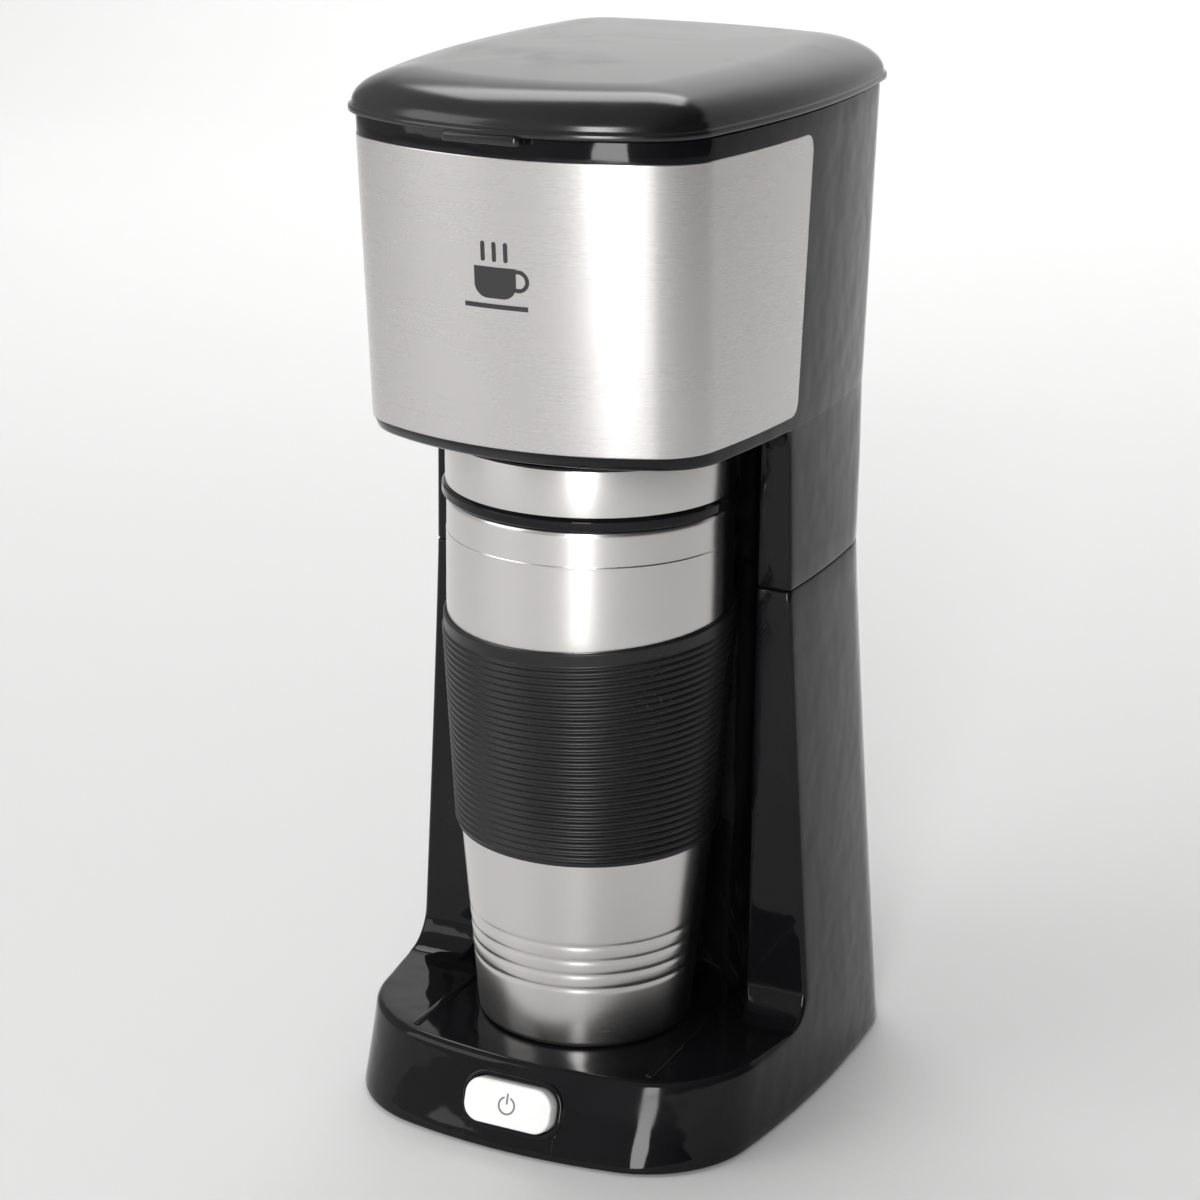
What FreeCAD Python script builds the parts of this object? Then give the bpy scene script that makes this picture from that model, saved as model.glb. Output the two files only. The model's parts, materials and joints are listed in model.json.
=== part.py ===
import FreeCAD, Part
import math
import os

# Single-cup drip coffee maker with a travel mug.  Millimetres, +Z up, the front faces -Y.
# Everything is drawn with the head's widest place at y = 0 and moved by Y_MIDDLE on export,
# which puts the origin under the middle of the whole part.
V = FreeCAD.Vector

# ---------------------------------------------------------------- driving dimensions
Y_MIDDLE = 6.85        # shift towards the back on export
Z_SKIRT = 0.8          # lower edge of the base housing
Z_FLOOR = 25.0         # mug platform
Z_SEAM = 153.0         # joint between the lower and the upper housing
Z_HEAD = 198.0         # underside of the head
Z_PANEL = 202.0        # lower edge of the steel panel
Z_PANEL_TOP = 277.0    # upper edge of the steel panel
Z_RIM = 282.8          # top of the upper housing
Z_LIP = 283.2          # underside of the lid
Z_TOP = 295.0          # top of the lid
WALL = 2.4             # housing wall
PANEL = 0.7            # steel panel thickness
PANEL_PROUD = 0.2      # how far the steel stands out of the housing
Y_PANEL_END = -11.0    # rear edge of the steel panel on both sides
MUG_Y = -25.4          # mug axis
R_NICHE = 46.0         # mug niche
R_STEP = 10.0          # fillet from the platform up to the pillars
Y_PILLAR_LOW = -9.0    # pillar front face at the platform
Y_PILLAR_SEAM = -13.4  # pillar front face at the seam
Y_PILLAR_TOP = -15.0   # pillar front face at the head
HINGE_Y = 74.3
HINGE_Z = 283.5
R_HINGE = 3.2
R_PIN = 1.5
LEAN = math.atan2(7.8, Z_FLOOR)   # backward lean of the front apron
BUTTON_Z = 13.6
BUTTON_Y = -71.5
BUTTON_HALF = 13.2     # half length of the pill-shaped button
BUTTON_R = 6.2
BUTTON_TRAVEL = 2.0
BEZEL_RIM = 1.9        # width of the surround from its opening's edge outwards
BEZEL_PROUD = 0.5      # how far the surround stands out of the apron
RISER_X, RISER_Y = 22.0, 27.0
R_TUBE = 4.0
Y_TANK = 34.0          # front wall of the water tank
Z_TANK = 157.0
Z_DECK = 276.5         # top of the deck around the filter

# A planform is an oval of eight tangent arcs: front, two front corners, two sides,
# two rear corners and the back.  Its numbers are, in order: half width, y of the widest
# place, y of the front, y of the back, radii of side, front, back, front and rear corner.
BASE = (64.3, 15.0, -76.1, 72.0, 361.0, 170.0, 200.0, 34.0, 26.0)
SEAM = (54.8, 8.0, -60.0, 68.5, 340.0, 120.0, 190.0, 27.0, 37.0)
HEAD_LOW = (53.5, 0.0, -75.8, 71.2, 316.0, 86.0, 150.0, 19.5, 28.5)
HEAD_MID = (53.7, 0.0, -78.8, 71.1, 316.0, 86.0, 150.0, 19.5, 28.5)
HEAD_TOP = (55.8, 0.0, -85.6, 69.5, 316.0, 84.0, 150.0, 20.0, 28.5)
LIP = (57.0, 0.0, -90.5, 70.9, 316.0, 78.0, 150.0, 24.0, 25.0)
FLARE_HEIGHTS = (0.0, 10.0, 25.0, 45.0, 75.0, 110.0, Z_SEAM)

# Rows of (height, growth) from the lip over the shoulder to the top of the lid
DOME = ((Z_LIP, 0.0), (284.9, 0.0), (285.3, -0.8), (288.0, -1.7), (290.6, -3.6), (292.6, -7.0),
        (293.9, -11.5), (294.7, -17.0), (Z_TOP, -23.0))

# Places of screws, feet and mains parts
SCREW_PLACES = ((-44.0, -40.0, 23.5), (44.0, -40.0, 23.5), (-56.0, 40.0, 21.0), (56.0, 40.0, 21.0))
FOOT_PLACES = ((-42.0, -50.0), (42.0, -50.0), (-42.0, 52.0), (42.0, 52.0))
POST_X, POST_Y = 48.5, 12.0      # posts and screws that join the two housings
Y_SPLIT = 24.0                   # joint between the pillars and the rear shell
GLAND_Y, GLAND_Z, GLAND_R = 71.75, 14.0, 6.0
GLAND_TILT = 1.5                 # the rear wall leans forward by this many degrees
GRIP_Y, GRIP_Z = -60.7, 279.7    # axis of the fold-up handle of the filter
GRIP_REACH = 11.3                # from that axis to the handle's bar
DRINK_Y = MUG_Y - 28.0           # middle of the drinking opening
INTAKE_X, INTAKE_Y = -22.0, 50.0 # hose from the tank to the boiler
HEATER_LEG = 22.0                # half spacing of the boiler's legs
HEATER_Z = 12.0
R_BOILER, R_ELEMENT = 5.2, 3.2
ELEMENT_LEG = HEATER_LEG + R_BOILER + R_ELEMENT
SWITCH_LOW, SWITCH_HIGH = -3.4, 6.6   # lower and upper side of the switch, square to the apron
Z_STRAP = HEATER_Z + R_BOILER    # underside of the strap that carries the boiler
MUG_Z = 25.3                     # standing height of the mug


# ---------------------------------------------------------------- helpers
def mixed(first, second, share):
    return tuple(p + (q - p) * share for p, q in zip(first, second))


def base_planform(z):
    """The lower housing flares towards the table; the front flares late, sides early."""
    left = (Z_SEAM - z) / (Z_SEAM - Z_SKIRT)
    plan = mixed(SEAM, BASE, left ** 1.1)
    front = SEAM[2] + (BASE[2] - SEAM[2]) * left ** 4
    return plan[:2] + (front,) + plan[3:]


def corner_centre(side, r_side, end, r_end, r_corner, turn):
    """Centre of the circle that lies inside the side arc and the end arc and touches both;
    turn is 1 for a rear corner and -1 for a front corner of the right-hand side."""
    r1, r2 = r_side - r_corner, r_end - r_corner
    dx, dy = end[0] - side[0], end[1] - side[1]
    gap = math.hypot(dx, dy)
    along = (r1 * r1 - r2 * r2 + gap * gap) / (2 * gap)
    off = turn * math.sqrt(r1 * r1 - along * along)
    return side[0] + (along * dx - off * dy) / gap, side[1] + (along * dy + off * dx) / gap


def on_circle(centre, radius, towards):
    dx, dy = towards[0] - centre[0], towards[1] - centre[1]
    length = math.hypot(dx, dy)
    return centre[0] + radius * dx / length, centre[1] + radius * dy / length


def oval(plan, z, grow=0.0):
    """Closed wire of the eight arcs at height z, grown outwards by the given distance."""
    a, y_mid, y_front, y_back, r_side, r_front, r_back, r_fc, r_rc = plan
    side = (a - r_side, y_mid)
    front = (0.0, y_front + r_front)
    back = (0.0, y_back - r_back)
    fc = corner_centre(side, r_side, front, r_front, r_fc, -1)
    rc = corner_centre(side, r_side, back, r_back, r_rc, 1)
    r_side, r_front, r_back = r_side + grow, r_front + grow, r_back + grow
    r_fc, r_rc = r_fc + grow, r_rc + grow

    def away(centre, origin, radius):
        length = math.hypot(centre[0] - origin[0], centre[1] - origin[1])
        return (origin[0] + radius * (centre[0] - origin[0]) / length,
                origin[1] + radius * (centre[1] - origin[1]) / length)

    def middle(centre, radius, p, q):
        return on_circle(centre, radius, ((p[0] + q[0]) / 2, (p[1] + q[1]) / 2))

    p_front = away(fc, front, r_front)
    p_side_f = away(fc, side, r_side)
    p_side_r = away(rc, side, r_side)
    p_back = away(rc, back, r_back)

    def mirror(p):
        return -p[0], p[1]

    half = [(p_front, middle(fc, r_fc, p_front, p_side_f), p_side_f),
            (p_side_f, (side[0] + r_side, y_mid), p_side_r),
            (p_side_r, middle(rc, r_rc, p_side_r, p_back), p_back)]
    arcs = list(half)
    arcs.append((p_back, (0.0, back[1] + r_back), mirror(p_back)))
    for start, mid, end in reversed(half):
        arcs.append((mirror(end), mirror(mid), mirror(start)))
    arcs.append((mirror(p_front), (0.0, front[1] - r_front), p_front))
    edges = [Part.Arc(*[V(p[0], p[1], z) for p in arc]).toShape() for arc in arcs]
    return Part.Wire(edges)


def loft(sections, ruled=True):
    """Solid through (planform, z, grow) sections."""
    return Part.makeLoft([oval(*section) for section in sections], True, ruled)


def head_loft(grow):
    """The head's skin, grown by a distance, from just under the head to its rim."""
    return loft([(HEAD_LOW, Z_HEAD - 1, grow), (HEAD_MID, Z_PANEL, grow), (HEAD_TOP, Z_RIM, grow)])


def box(x0, x1, y0, y1, z0, z1):
    return Part.makeBox(x1 - x0, y1 - y0, z1 - z0, V(x0, y0, z0))


def rod(radius, start, end):
    axis = V(*end) - V(*start)
    return Part.makeCylinder(radius, axis.Length, V(*start), axis)


def ring(r_out, r_in, start, end):
    return rod(r_out, start, end).cut(rod(r_in, start, end))


def turned(profile, x=0.0, y=MUG_Y):
    """Solid of revolution about a vertical axis from (radius, height) corners."""
    points = [V(x + r, y, z) for r, z in profile]
    face = Part.Face(Part.makePolygon(points + points[:1]))
    return face.revolve(V(x, y, 0), V(0, 0, 1), 360)


def prism_x(points, x0, x1):
    """Outline in (y, z), drawn out along X."""
    corners = [V(x0, y, z) for y, z in points]
    face = Part.Face(Part.makePolygon(corners + corners[:1]))
    return face.extrude(V(x1 - x0, 0, 0))


def slot(p, q, radius, z0, z1):
    """Upright plate with round ends, from point p to point q."""
    dx, dy = q[0] - p[0], q[1] - p[1]
    length = math.hypot(dx, dy)
    plate = box(0, length, -radius, radius, z0, z1)
    plate.rotate(V(0, 0, 0), V(0, 0, 1), math.degrees(math.atan2(dy, dx)))
    plate.translate(V(p[0], p[1], 0))
    ends = [rod(radius, (c[0], c[1], z0), (c[0], c[1], z1)) for c in (p, q)]
    return plate.fuse(ends).removeSplitter()


def pill(half_length, radius, depth):
    """Pill-shaped block, its face at y=0, its depth towards +Y, long along X."""
    plate = slot((radius - half_length, 0), (half_length - radius, 0), radius, 0, depth)
    plate.rotate(V(0, 0, 0), V(1, 0, 0), -90)
    return plate


def on_apron(shape, out=0.0):
    """Place a shape made at the origin on the leaning front apron, pushed out by a distance."""
    shape.translate(V(0, -out, 0))
    shape.rotate(V(0, 0, 0), V(1, 0, 0), -math.degrees(LEAN))
    shape.translate(V(0, BUTTON_Y, BUTTON_Z))
    return shape


def mirrored(shapes):
    return [shape.mirror(V(0, 0, 0), V(1, 0, 0)) for shape in shapes]


def path_tube(points, radius, bend):
    """Round bar along straight runs joined by tangent arcs."""
    points = [V(*p) for p in points]
    edges = []
    start = points[0]
    for before, corner, after in zip(points, points[1:], points[2:]):
        back = (before - corner).normalize()
        ahead = (after - corner).normalize()
        angle = back.getAngle(ahead)
        reach = bend / math.tan(angle / 2)
        entry, leave = corner + back * reach, corner + ahead * reach
        centre = corner + (back + ahead).normalize() * (bend / math.sin(angle / 2))
        middle = centre + (corner - centre).normalize() * bend
        edges.append(Part.LineSegment(start, entry).toShape())
        edges.append(Part.Arc(entry, middle, leave).toShape())
        start = leave
    edges.append(Part.LineSegment(start, points[-1]).toShape())
    first = (points[1] - points[0]).normalize()
    section = Part.Wire(Part.makeCircle(radius, points[0], first))
    return Part.Wire(edges).makePipeShell([section], True, True)


# ---------------------------------------------------------------- housings
def niche_cutter(low, grow):
    """Space of the mug between the pillars: low part above the platform, or under the head."""
    y_low, y_top = (Y_PILLAR_LOW, Y_PILLAR_SEAM) if low else (Y_PILLAR_SEAM, Y_PILLAR_TOP)
    z_low = Z_FLOOR - grow if low else Z_SEAM - 5
    z_top = Z_SEAM + 5 if low else Z_HEAD + grow
    y_low, y_top = y_low + grow, y_top + grow
    if low:
        turn = [(y_low - R_STEP + R_STEP * math.sin(t), z_low + R_STEP - R_STEP * math.cos(t))
                for t in [math.radians(15 * k) for k in range(7)]]
        outline = [(-130, z_low)] + turn + [(y_top, z_top), (-130, z_top)]
    else:
        outline = [(-130, z_low), (y_low, z_low), (y_top, z_top), (-130, z_top)]
    front = prism_x(outline, -90, 90)
    niche = rod(R_NICHE + grow, (0, MUG_Y, z_low), (0, MUG_Y, z_top))
    return front.fuse(niche)


def lower_case():
    """All walls of the lower part: apron, platform, pillars, niche wall and back."""
    sections = [(base_planform(z), z, 0.0) for z in FLARE_HEIGHTS]
    sections[0] = (base_planform(Z_SKIRT), Z_SKIRT, 0.0)
    outer = loft(sections, False)
    inside = [(base_planform(z), z, -WALL) for z in FLARE_HEIGHTS]
    inside[0] = (base_planform(0.0), -1.0, -WALL)
    inside[-1] = (base_planform(Z_SEAM), Z_SEAM + 1, -WALL)
    hollow = loft(inside, False).cut(niche_cutter(True, WALL))
    return outer.cut(niche_cutter(True, 0.0)).cut(hollow)


def platform_rails():
    rails = [box(34.0, 39.5, -61.0, 3.0, Z_FLOOR - 1, Z_FLOOR + 0.9)]
    return rails + mirrored(rails)


def niche_zone(z0, z1):
    """The niche's round part with its wall, between two heights."""
    return rod(R_NICHE + WALL, (0, MUG_Y, z0), (0, MUG_Y, z1))


def base_housing():
    """Skirt, apron and platform, up to the platform's height."""
    body = lower_case().common(box(-90, 90, -100, 100, 0, Z_FLOOR))
    bosses = [rod(4.0, (x, y, 4.5), (x, y, top)) for x, y, top in SCREW_PLACES]
    body = body.fuse(platform_rails() + bosses)
    holes = [rod(1.6, (x, y, 0), (x, y, 15)) for x, y, top in SCREW_PLACES]
    body = body.cut(Part.makeCompound(holes))
    opening = on_apron(pill(BUTTON_HALF + 0.4, BUTTON_R + 0.4, 12), 4)
    seat = on_apron(pill(BUTTON_HALF + BEZEL_RIM, BUTTON_R + BEZEL_RIM, 12), 4)
    rear = at_rear(rod(GLAND_R, (0, -12, 0), (0, 8, 0)))
    return body.cut(seat.fuse([opening, rear])).removeSplitter()


def niche_wall():
    """Curved wall behind the mug, from the platform to the seam."""
    column = lower_case().common(box(-90, 90, -100, 100, Z_FLOOR, Z_SEAM))
    wall = column.common(niche_zone(Z_FLOOR, Z_SEAM))
    return wall.cut(Part.makeCompound(platform_rails()))


def pillar(side):
    """Front face and side wall of one pillar, with its screw post; side is 1 for the right."""
    x0, x1 = sorted((0, side * 90))
    walls = lower_case().common(box(x0, x1, -100, Y_SPLIT, Z_FLOOR, Z_SEAM))
    walls = walls.cut(niche_zone(Z_FLOOR, Z_SEAM))
    x = side * POST_X
    walls = walls.fuse(rod(4.0, (x, POST_Y, 141), (x, POST_Y, Z_SEAM)))
    walls = walls.cut(rod(1.6, (x, POST_Y, 140), (x, POST_Y, 160)))
    return walls.cut(Part.makeCompound(platform_rails())).removeSplitter()


def pillar_left():
    return pillar(-1)


def pillar_right():
    return pillar(1)


def rear_shell():
    return lower_case().common(box(-90, 90, Y_SPLIT, 100, Z_FLOOR, Z_SEAM))


def at_rear(shape):
    """Place a shape made along +Y at the origin on the leaning rear wall."""
    shape.rotate(V(0, 0, 0), V(1, 0, 0), GLAND_TILT)
    shape.translate(V(0, GLAND_Y, GLAND_Z))
    return shape


def base_plate():
    """Bottom plate with vents, counterbored screw holes and a wedge under the switch."""
    plan = base_planform(4.5)
    plate = loft([(plan, 2.0, -WALL - 0.3), (plan, 4.5, -WALL - 0.3)])
    for x, y, top in SCREW_PLACES:
        plate = plate.cut(rod(1.9, (x, y, 1), (x, y, 6)))
        plate = plate.cut(rod(3.4, (x, y, 1), (x, y, 3.2)))
    for k in range(7):
        y = -30 + 9 * k
        plate = plate.cut(slot((-14, y), (14, y), 1.4, 1, 6))
    wedge = box(-7, 7, -62, -52, 4.0, 12.0).cut(on_apron(box(-12, 12, 6, 26, SWITCH_LOW, 20)))
    return plate.fuse(wedge).removeSplitter()


def rubber_feet():
    profile = ((0, 0), (6.2, 0), (7.0, 0.8), (7.0, 2.0), (0, 2.0))
    return Part.makeCompound([turned(profile, x, y) for x, y in FOOT_PLACES])


def base_screws():
    screws = []
    for x, y, top in SCREW_PLACES:
        profile = ((0, 2.2), (3.1, 2.2), (3.1, 3.2), (1.55, 3.2), (1.55, 13.5), (0, 14.5))
        screws.append(turned(profile, x, y))
    return Part.makeCompound(screws)


def panel_window(clear):
    """Side outline of the steel panel, open towards the front, with round rear corners."""
    z0, z1 = Z_PANEL - clear, Z_PANEL_TOP + clear
    y1 = Y_PANEL_END + clear
    block = box(-90, 90, -130, y1, z0, z1)
    rear = [e for e in block.Edges
            if abs(e.BoundBox.YMin - y1) < 1e-6 and e.BoundBox.YLength < 1e-6
            and e.BoundBox.XLength > 100]
    return block.makeFillet(4.0, rear)


def upper_case():
    """All walls of the upper part: column above the seam, and head with the panel's recess."""
    head = [(HEAD_LOW, Z_HEAD, 0.0), (HEAD_MID, Z_PANEL, 0.0), (HEAD_TOP, Z_RIM, 0.0)]
    column = [(SEAM, Z_SEAM, 0.0), (HEAD_LOW, Z_HEAD, 0.0)]
    body = loft(column).cut(niche_cutter(False, 0.0)).fuse(loft(head))
    inside = [(SEAM, Z_SEAM - 1, -WALL), (HEAD_LOW, Z_HEAD, -WALL), (HEAD_MID, Z_PANEL, -WALL),
              (HEAD_TOP, Z_RIM + 1, -WALL)]
    hollow = loft(inside).cut(niche_cutter(False, WALL))
    recess = head_loft(4.0).cut(head_loft(PANEL_PROUD - PANEL)).common(panel_window(0.1))
    return body.cut(hollow).cut(recess)


def upper_housing():
    """Head: floor, walls and rim, with the hinge ears and the ledges of the funnel's deck."""
    outlet = rod(7.0, (0, MUG_Y, Z_HEAD - 1), (0, MUG_Y, Z_HEAD + 5))
    ears = []
    web = [(HINGE_Y + dy, HINGE_Z + dz) for dy, dz in ((-5.8, -9.5), (-4.8, -9.5), (2.6, -1.9),
                                                      (0, -0.9), (-5.8, -0.9))]
    for x0, x1 in ((-21.0, -15.3), (15.3, 21.0)):
        ears.append(rod(R_HINGE, (x0, HINGE_Y, HINGE_Z), (x1, HINGE_Y, HINGE_Z)))
        ears.append(prism_x(web, x0, x1))
    pin_hole = rod(R_PIN, (-21, HINGE_Y, HINGE_Z), (21, HINGE_Y, HINGE_Z))
    ledges = [box(50.0, 53.6, -5.0, 5.0, Z_DECK - 6, Z_DECK - 2)]
    ledges += mirrored(ledges) + [box(-5, 5, -83.4, -79.5, Z_DECK - 6, Z_DECK - 2)]
    head = upper_case().common(box(-90, 90, -100, 100, Z_HEAD, Z_TOP))
    return head.fuse(ears + ledges).cut(outlet).cut(pin_hole).removeSplitter()


def upper_niche_wall():
    """Curved wall behind the mug, from the seam to the head."""
    return upper_case().common(niche_zone(Z_SEAM, Z_HEAD))


def upper_pillar(side):
    """Pillar above the seam, with its screw post; side is 1 for the right."""
    x0, x1 = sorted((0, side * 90))
    walls = upper_case().common(box(x0, x1, -100, Y_SPLIT, Z_SEAM, Z_HEAD))
    walls = walls.cut(niche_zone(Z_SEAM, Z_HEAD))
    post = ring(4.0, 1.55, (side * POST_X, POST_Y, Z_SEAM), (side * POST_X, POST_Y, 165))
    return walls.fuse(post).removeSplitter()


def upper_pillar_left():
    return upper_pillar(-1)


def upper_pillar_right():
    return upper_pillar(1)


def upper_rear_shell():
    """Rear of the column above the seam, with three ledges under the tank."""
    ledges = [box(48.0, 52.6, 37.0, 43.0, Z_TANK - 3, Z_TANK)]
    ledges += mirrored(ledges) + [box(-5, 5, 61.0, 67.5, Z_TANK - 3, Z_TANK)]
    walls = upper_case().common(box(-90, 90, Y_SPLIT, 100, Z_SEAM, Z_HEAD))
    return walls.fuse(ledges).removeSplitter()


def steel_wrap():
    return head_loft(PANEL_PROUD).cut(head_loft(PANEL_PROUD - PANEL)).common(panel_window(0.0))


def front_emblem():
    """Plain pictogram of a cup on a saucer, a thin print on the steel."""
    x, z = 1.0, 246.0
    cup = box(x - 6.5, x + 5.0, -110, -60, z - 4.5, z + 3.5)
    low = [e for e in cup.Edges if e.BoundBox.YLength > 40 and e.BoundBox.ZMax < z]
    cup = cup.makeFillet(3.6, low)
    grip = ring(2.9, 1.9, (x + 5.6, -110, z + 0.4), (x + 5.6, -60, z + 0.4))
    saucer = box(x - 9.5, x + 8.0, -110, -60, z - 7.2, z - 6.0)
    steam = [slot((x + dx, z + 5.4), (x + dx, z + 9.4), 0.55, 60, 110) for dx in (-3.9, -0.75, 2.4)]
    for puff in steam:
        puff.rotate(V(0, 0, 0), V(1, 0, 0), 90)
    mark = cup.fuse([grip.cut(cup), saucer] + steam)
    return mark.common(head_loft(PANEL_PROUD + 0.12).cut(head_loft(PANEL_PROUD)))


# ---------------------------------------------------------------- lid
def lid_shell():
    """Dome with its lip, the thumb tab at the front and the hinge knuckle at the back."""
    outer = loft([(LIP, z, grow) for z, grow in DOME])
    inside = [(LIP, Z_LIP - 1, -2.4)]
    inside += [(LIP, z - 2.2, grow - 2.4) for z, grow in DOME[3:-1]]
    dome = outer.cut(loft(inside))
    tab = box(-10.6, 10.6, -91.2, -87.0, 281.2, Z_LIP + 1.0)
    corners = [e for e in tab.Edges if e.BoundBox.ZLength > 2 and e.BoundBox.YMax < -90]
    tab = tab.makeFillet(2.0, corners)
    knuckle = rod(R_HINGE, (-15.0, HINGE_Y, HINGE_Z), (15.0, HINGE_Y, HINGE_Z))
    web = prism_x(((HINGE_Y - 5.6, Z_LIP), (HINGE_Y, Z_LIP), (HINGE_Y, HINGE_Z + R_HINGE),
                   (HINGE_Y - 5.6, HINGE_Z + R_HINGE)), -15.0, 15.0)
    bore = rod(R_PIN + 0.08, (-16, HINGE_Y, HINGE_Z), (16, HINGE_Y, HINGE_Z))
    return dome.fuse([tab, knuckle, web]).cut(bore).removeSplitter()


def lid_liner():
    """Ring inside the lid that centres it in the head."""
    flange = loft([(LIP, 284.0, -3.6), (LIP, 285.2, -4.05)])
    skirt = loft([(HEAD_TOP, 279.8, -WALL - 0.7), (HEAD_TOP, 285.2, -WALL - 0.7)])
    space = loft([(HEAD_TOP, 279.0, -WALL - 2.2), (HEAD_TOP, 286.0, -WALL - 2.2)])
    return flange.fuse(skirt).cut(space)


def hinge_pin():
    return rod(R_PIN, (-21, HINGE_Y, HINGE_Z), (21, HINGE_Y, HINGE_Z))


# ---------------------------------------------------------------- brewing side
def brew_funnel():
    funnel = turned(((43.0, Z_DECK - 1), (43.0, 216.0), (15.0, 203.4), (6.2, 203.4), (6.2, 196.3),
                     (4.2, 196.3), (4.2, 205.2), (15.0, 205.6), (41.2, 217.5), (41.2, Z_DECK - 1)))
    deck = loft([(HEAD_TOP, Z_DECK - 2, -WALL - 1.2), (HEAD_TOP, Z_DECK, -WALL - 1.2)])
    deck = deck.common(box(-90, 90, -100, Y_TANK - 0.6, 270, 280))
    mouth = rod(41.2, (0, MUG_Y, 270), (0, MUG_Y, 280))
    riser = rod(R_TUBE + 0.3, (RISER_X, RISER_Y, 270), (RISER_X, RISER_Y, 280))
    return funnel.fuse(deck.cut(mouth)).cut(riser).removeSplitter()


def filter_basket():
    shell = turned(((42.6, Z_DECK), (42.6, 278.3), (38.6, 278.3), (29.0, 224.0), (3.0, 224.0),
                    (3.0, 222.0), (30.4, 222.0), (40.2, Z_DECK)))
    ears = [box(15.0, 18.0, -63.5, -58.5, 278.0, 282.2)]
    holes = []
    for k in range(8):
        angle = math.radians(45 * k)
        x, y = 17 * math.cos(angle), MUG_Y + 17 * math.sin(angle)
        holes.append(rod(4.0, (x, y, 221), (x, y, 225)))
    pivot = rod(1.1, (-20, GRIP_Y, GRIP_Z), (20, GRIP_Y, GRIP_Z))
    return shell.fuse(ears + mirrored(ears)).cut(Part.makeCompound(holes)).cut(pivot)


def filter_grip():
    """Small fold-up handle on the rim of the filter basket."""
    y_bar = GRIP_Y + GRIP_REACH
    pins = [rod(1.02, (12.8, GRIP_Y, GRIP_Z), (17.4, GRIP_Y, GRIP_Z))]
    legs = [rod(1.1, (13.8, GRIP_Y, GRIP_Z), (13.8, y_bar, GRIP_Z))]
    bar = rod(1.1, (-13.8, y_bar, GRIP_Z), (13.8, y_bar, GRIP_Z))
    balls = [Part.makeSphere(1.1, V(13.8, y_bar, GRIP_Z)),
             Part.makeSphere(1.1, V(13.8, GRIP_Y, GRIP_Z))]
    parts = pins + legs + balls
    return bar.fuse(parts + mirrored(parts))


def mesh_filter():
    return turned(((37.4, 277.0), (28.0, 224.6), (0, 224.6), (0, 224.0), (28.5, 224.0), (37.9, 277.0)))


def tank_loft(grow, z0, z1):
    return loft([(SEAM, z0, grow), (HEAD_LOW, Z_HEAD, grow), (HEAD_TOP, z1, grow)])


def water_tank():
    """Open tank behind the filter, with ribs as level marks on its front wall."""
    behind = box(-90, 90, Y_TANK, 100, 100, 300)
    outer = tank_loft(-WALL - 1.0, Z_TANK, Z_DECK).common(behind)
    space = box(-90, 90, Y_TANK + 1.8, 100, 100, 300)
    inner = tank_loft(-WALL - 2.8, Z_TANK + 2.0, Z_DECK + 1).common(space)
    tank = outer.cut(inner)
    marks = [box(-9, 9, Y_TANK + 1.0, Y_TANK + 2.4, z - 0.4, z + 0.4) for z in (190, 215, 240, 262)]
    stub = rod(4.6, (INTAKE_X, INTAKE_Y, Z_TANK - 8), (INTAKE_X, INTAKE_Y, Z_TANK + 1))
    hole = rod(2.6, (INTAKE_X, INTAKE_Y, Z_TANK - 9), (INTAKE_X, INTAKE_Y, Z_TANK + 6))
    return tank.fuse(marks + [stub]).cut(hole).removeSplitter()


def tank_strainer():
    z = Z_TANK + 2.0
    profile = ((0, z + 4), (4, z + 4), (5.5, z), (5.0, z), (3.6, z + 3.4), (0, z + 3.4))
    return turned(profile, INTAKE_X, INTAKE_Y)


def shower_spout():
    """Outlet arm that carries the hot water from the riser over the filter."""
    tip = (6.0, 4.0)
    boss = rod(6.0, (RISER_X, RISER_Y, Z_DECK), (RISER_X, RISER_Y, 287.0))
    arm = slot((RISER_X, RISER_Y), tip, 4.6, 280.4, 287.0)
    nose = rod(3.2, (tip[0], tip[1], 279.2), (tip[0], tip[1], 282.0))
    socket = rod(R_TUBE + 0.05, (RISER_X, RISER_Y, Z_DECK - 1), (RISER_X, RISER_Y, 281.0))
    duct = slot((RISER_X, RISER_Y), tip, 2.4, 281.0, 285.2)
    outlet = rod(1.8, (tip[0], tip[1], 278.0), (tip[0], tip[1], 283.0))
    return boss.fuse([arm, nose]).cut(socket).cut(duct).cut(outlet).removeSplitter()


# ---------------------------------------------------------------- heating side
def u_bar(radius, half, y_end):
    """Round bar bent into a U that opens towards the back."""
    y_bend = -4.0
    left = Part.LineSegment(V(-half, y_end, HEATER_Z), V(-half, y_bend, HEATER_Z)).toShape()
    turn = Part.Arc(V(-half, y_bend, HEATER_Z), V(0, y_bend - half, HEATER_Z),
                    V(half, y_bend, HEATER_Z)).toShape()
    right = Part.LineSegment(V(half, y_bend, HEATER_Z), V(half, y_end, HEATER_Z)).toShape()
    section = Part.Wire(Part.makeCircle(radius, V(-half, y_end, HEATER_Z), V(0, -1, 0)))
    return Part.Wire([left, turn, right]).makePipeShell([section], True, True)


def boiler():
    """Cast U-shaped flow heater with a bore for the water, two hose nozzles and a lug
    that meets the underside of the platform."""
    body = u_bar(R_BOILER, HEATER_LEG, 34.0)
    intake = rod(3.0, (INTAKE_X, 33, HEATER_Z), (INTAKE_X, 38.5, HEATER_Z))
    outlet = rod(3.0, (RISER_X, RISER_Y, HEATER_Z), (RISER_X, RISER_Y, 30.0))
    lug = box(-5, 5, -30.0, -23.0, HEATER_Z, Z_FLOOR - WALL)
    body = body.fuse([intake, outlet, lug])
    bores = [rod(1.9, (INTAKE_X, 30, HEATER_Z), (INTAKE_X, 39, HEATER_Z)),
             rod(1.9, (RISER_X, RISER_Y, HEATER_Z), (RISER_X, RISER_Y, 31.0))]
    return body.cut(bores[0]).cut(bores[1])


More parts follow.
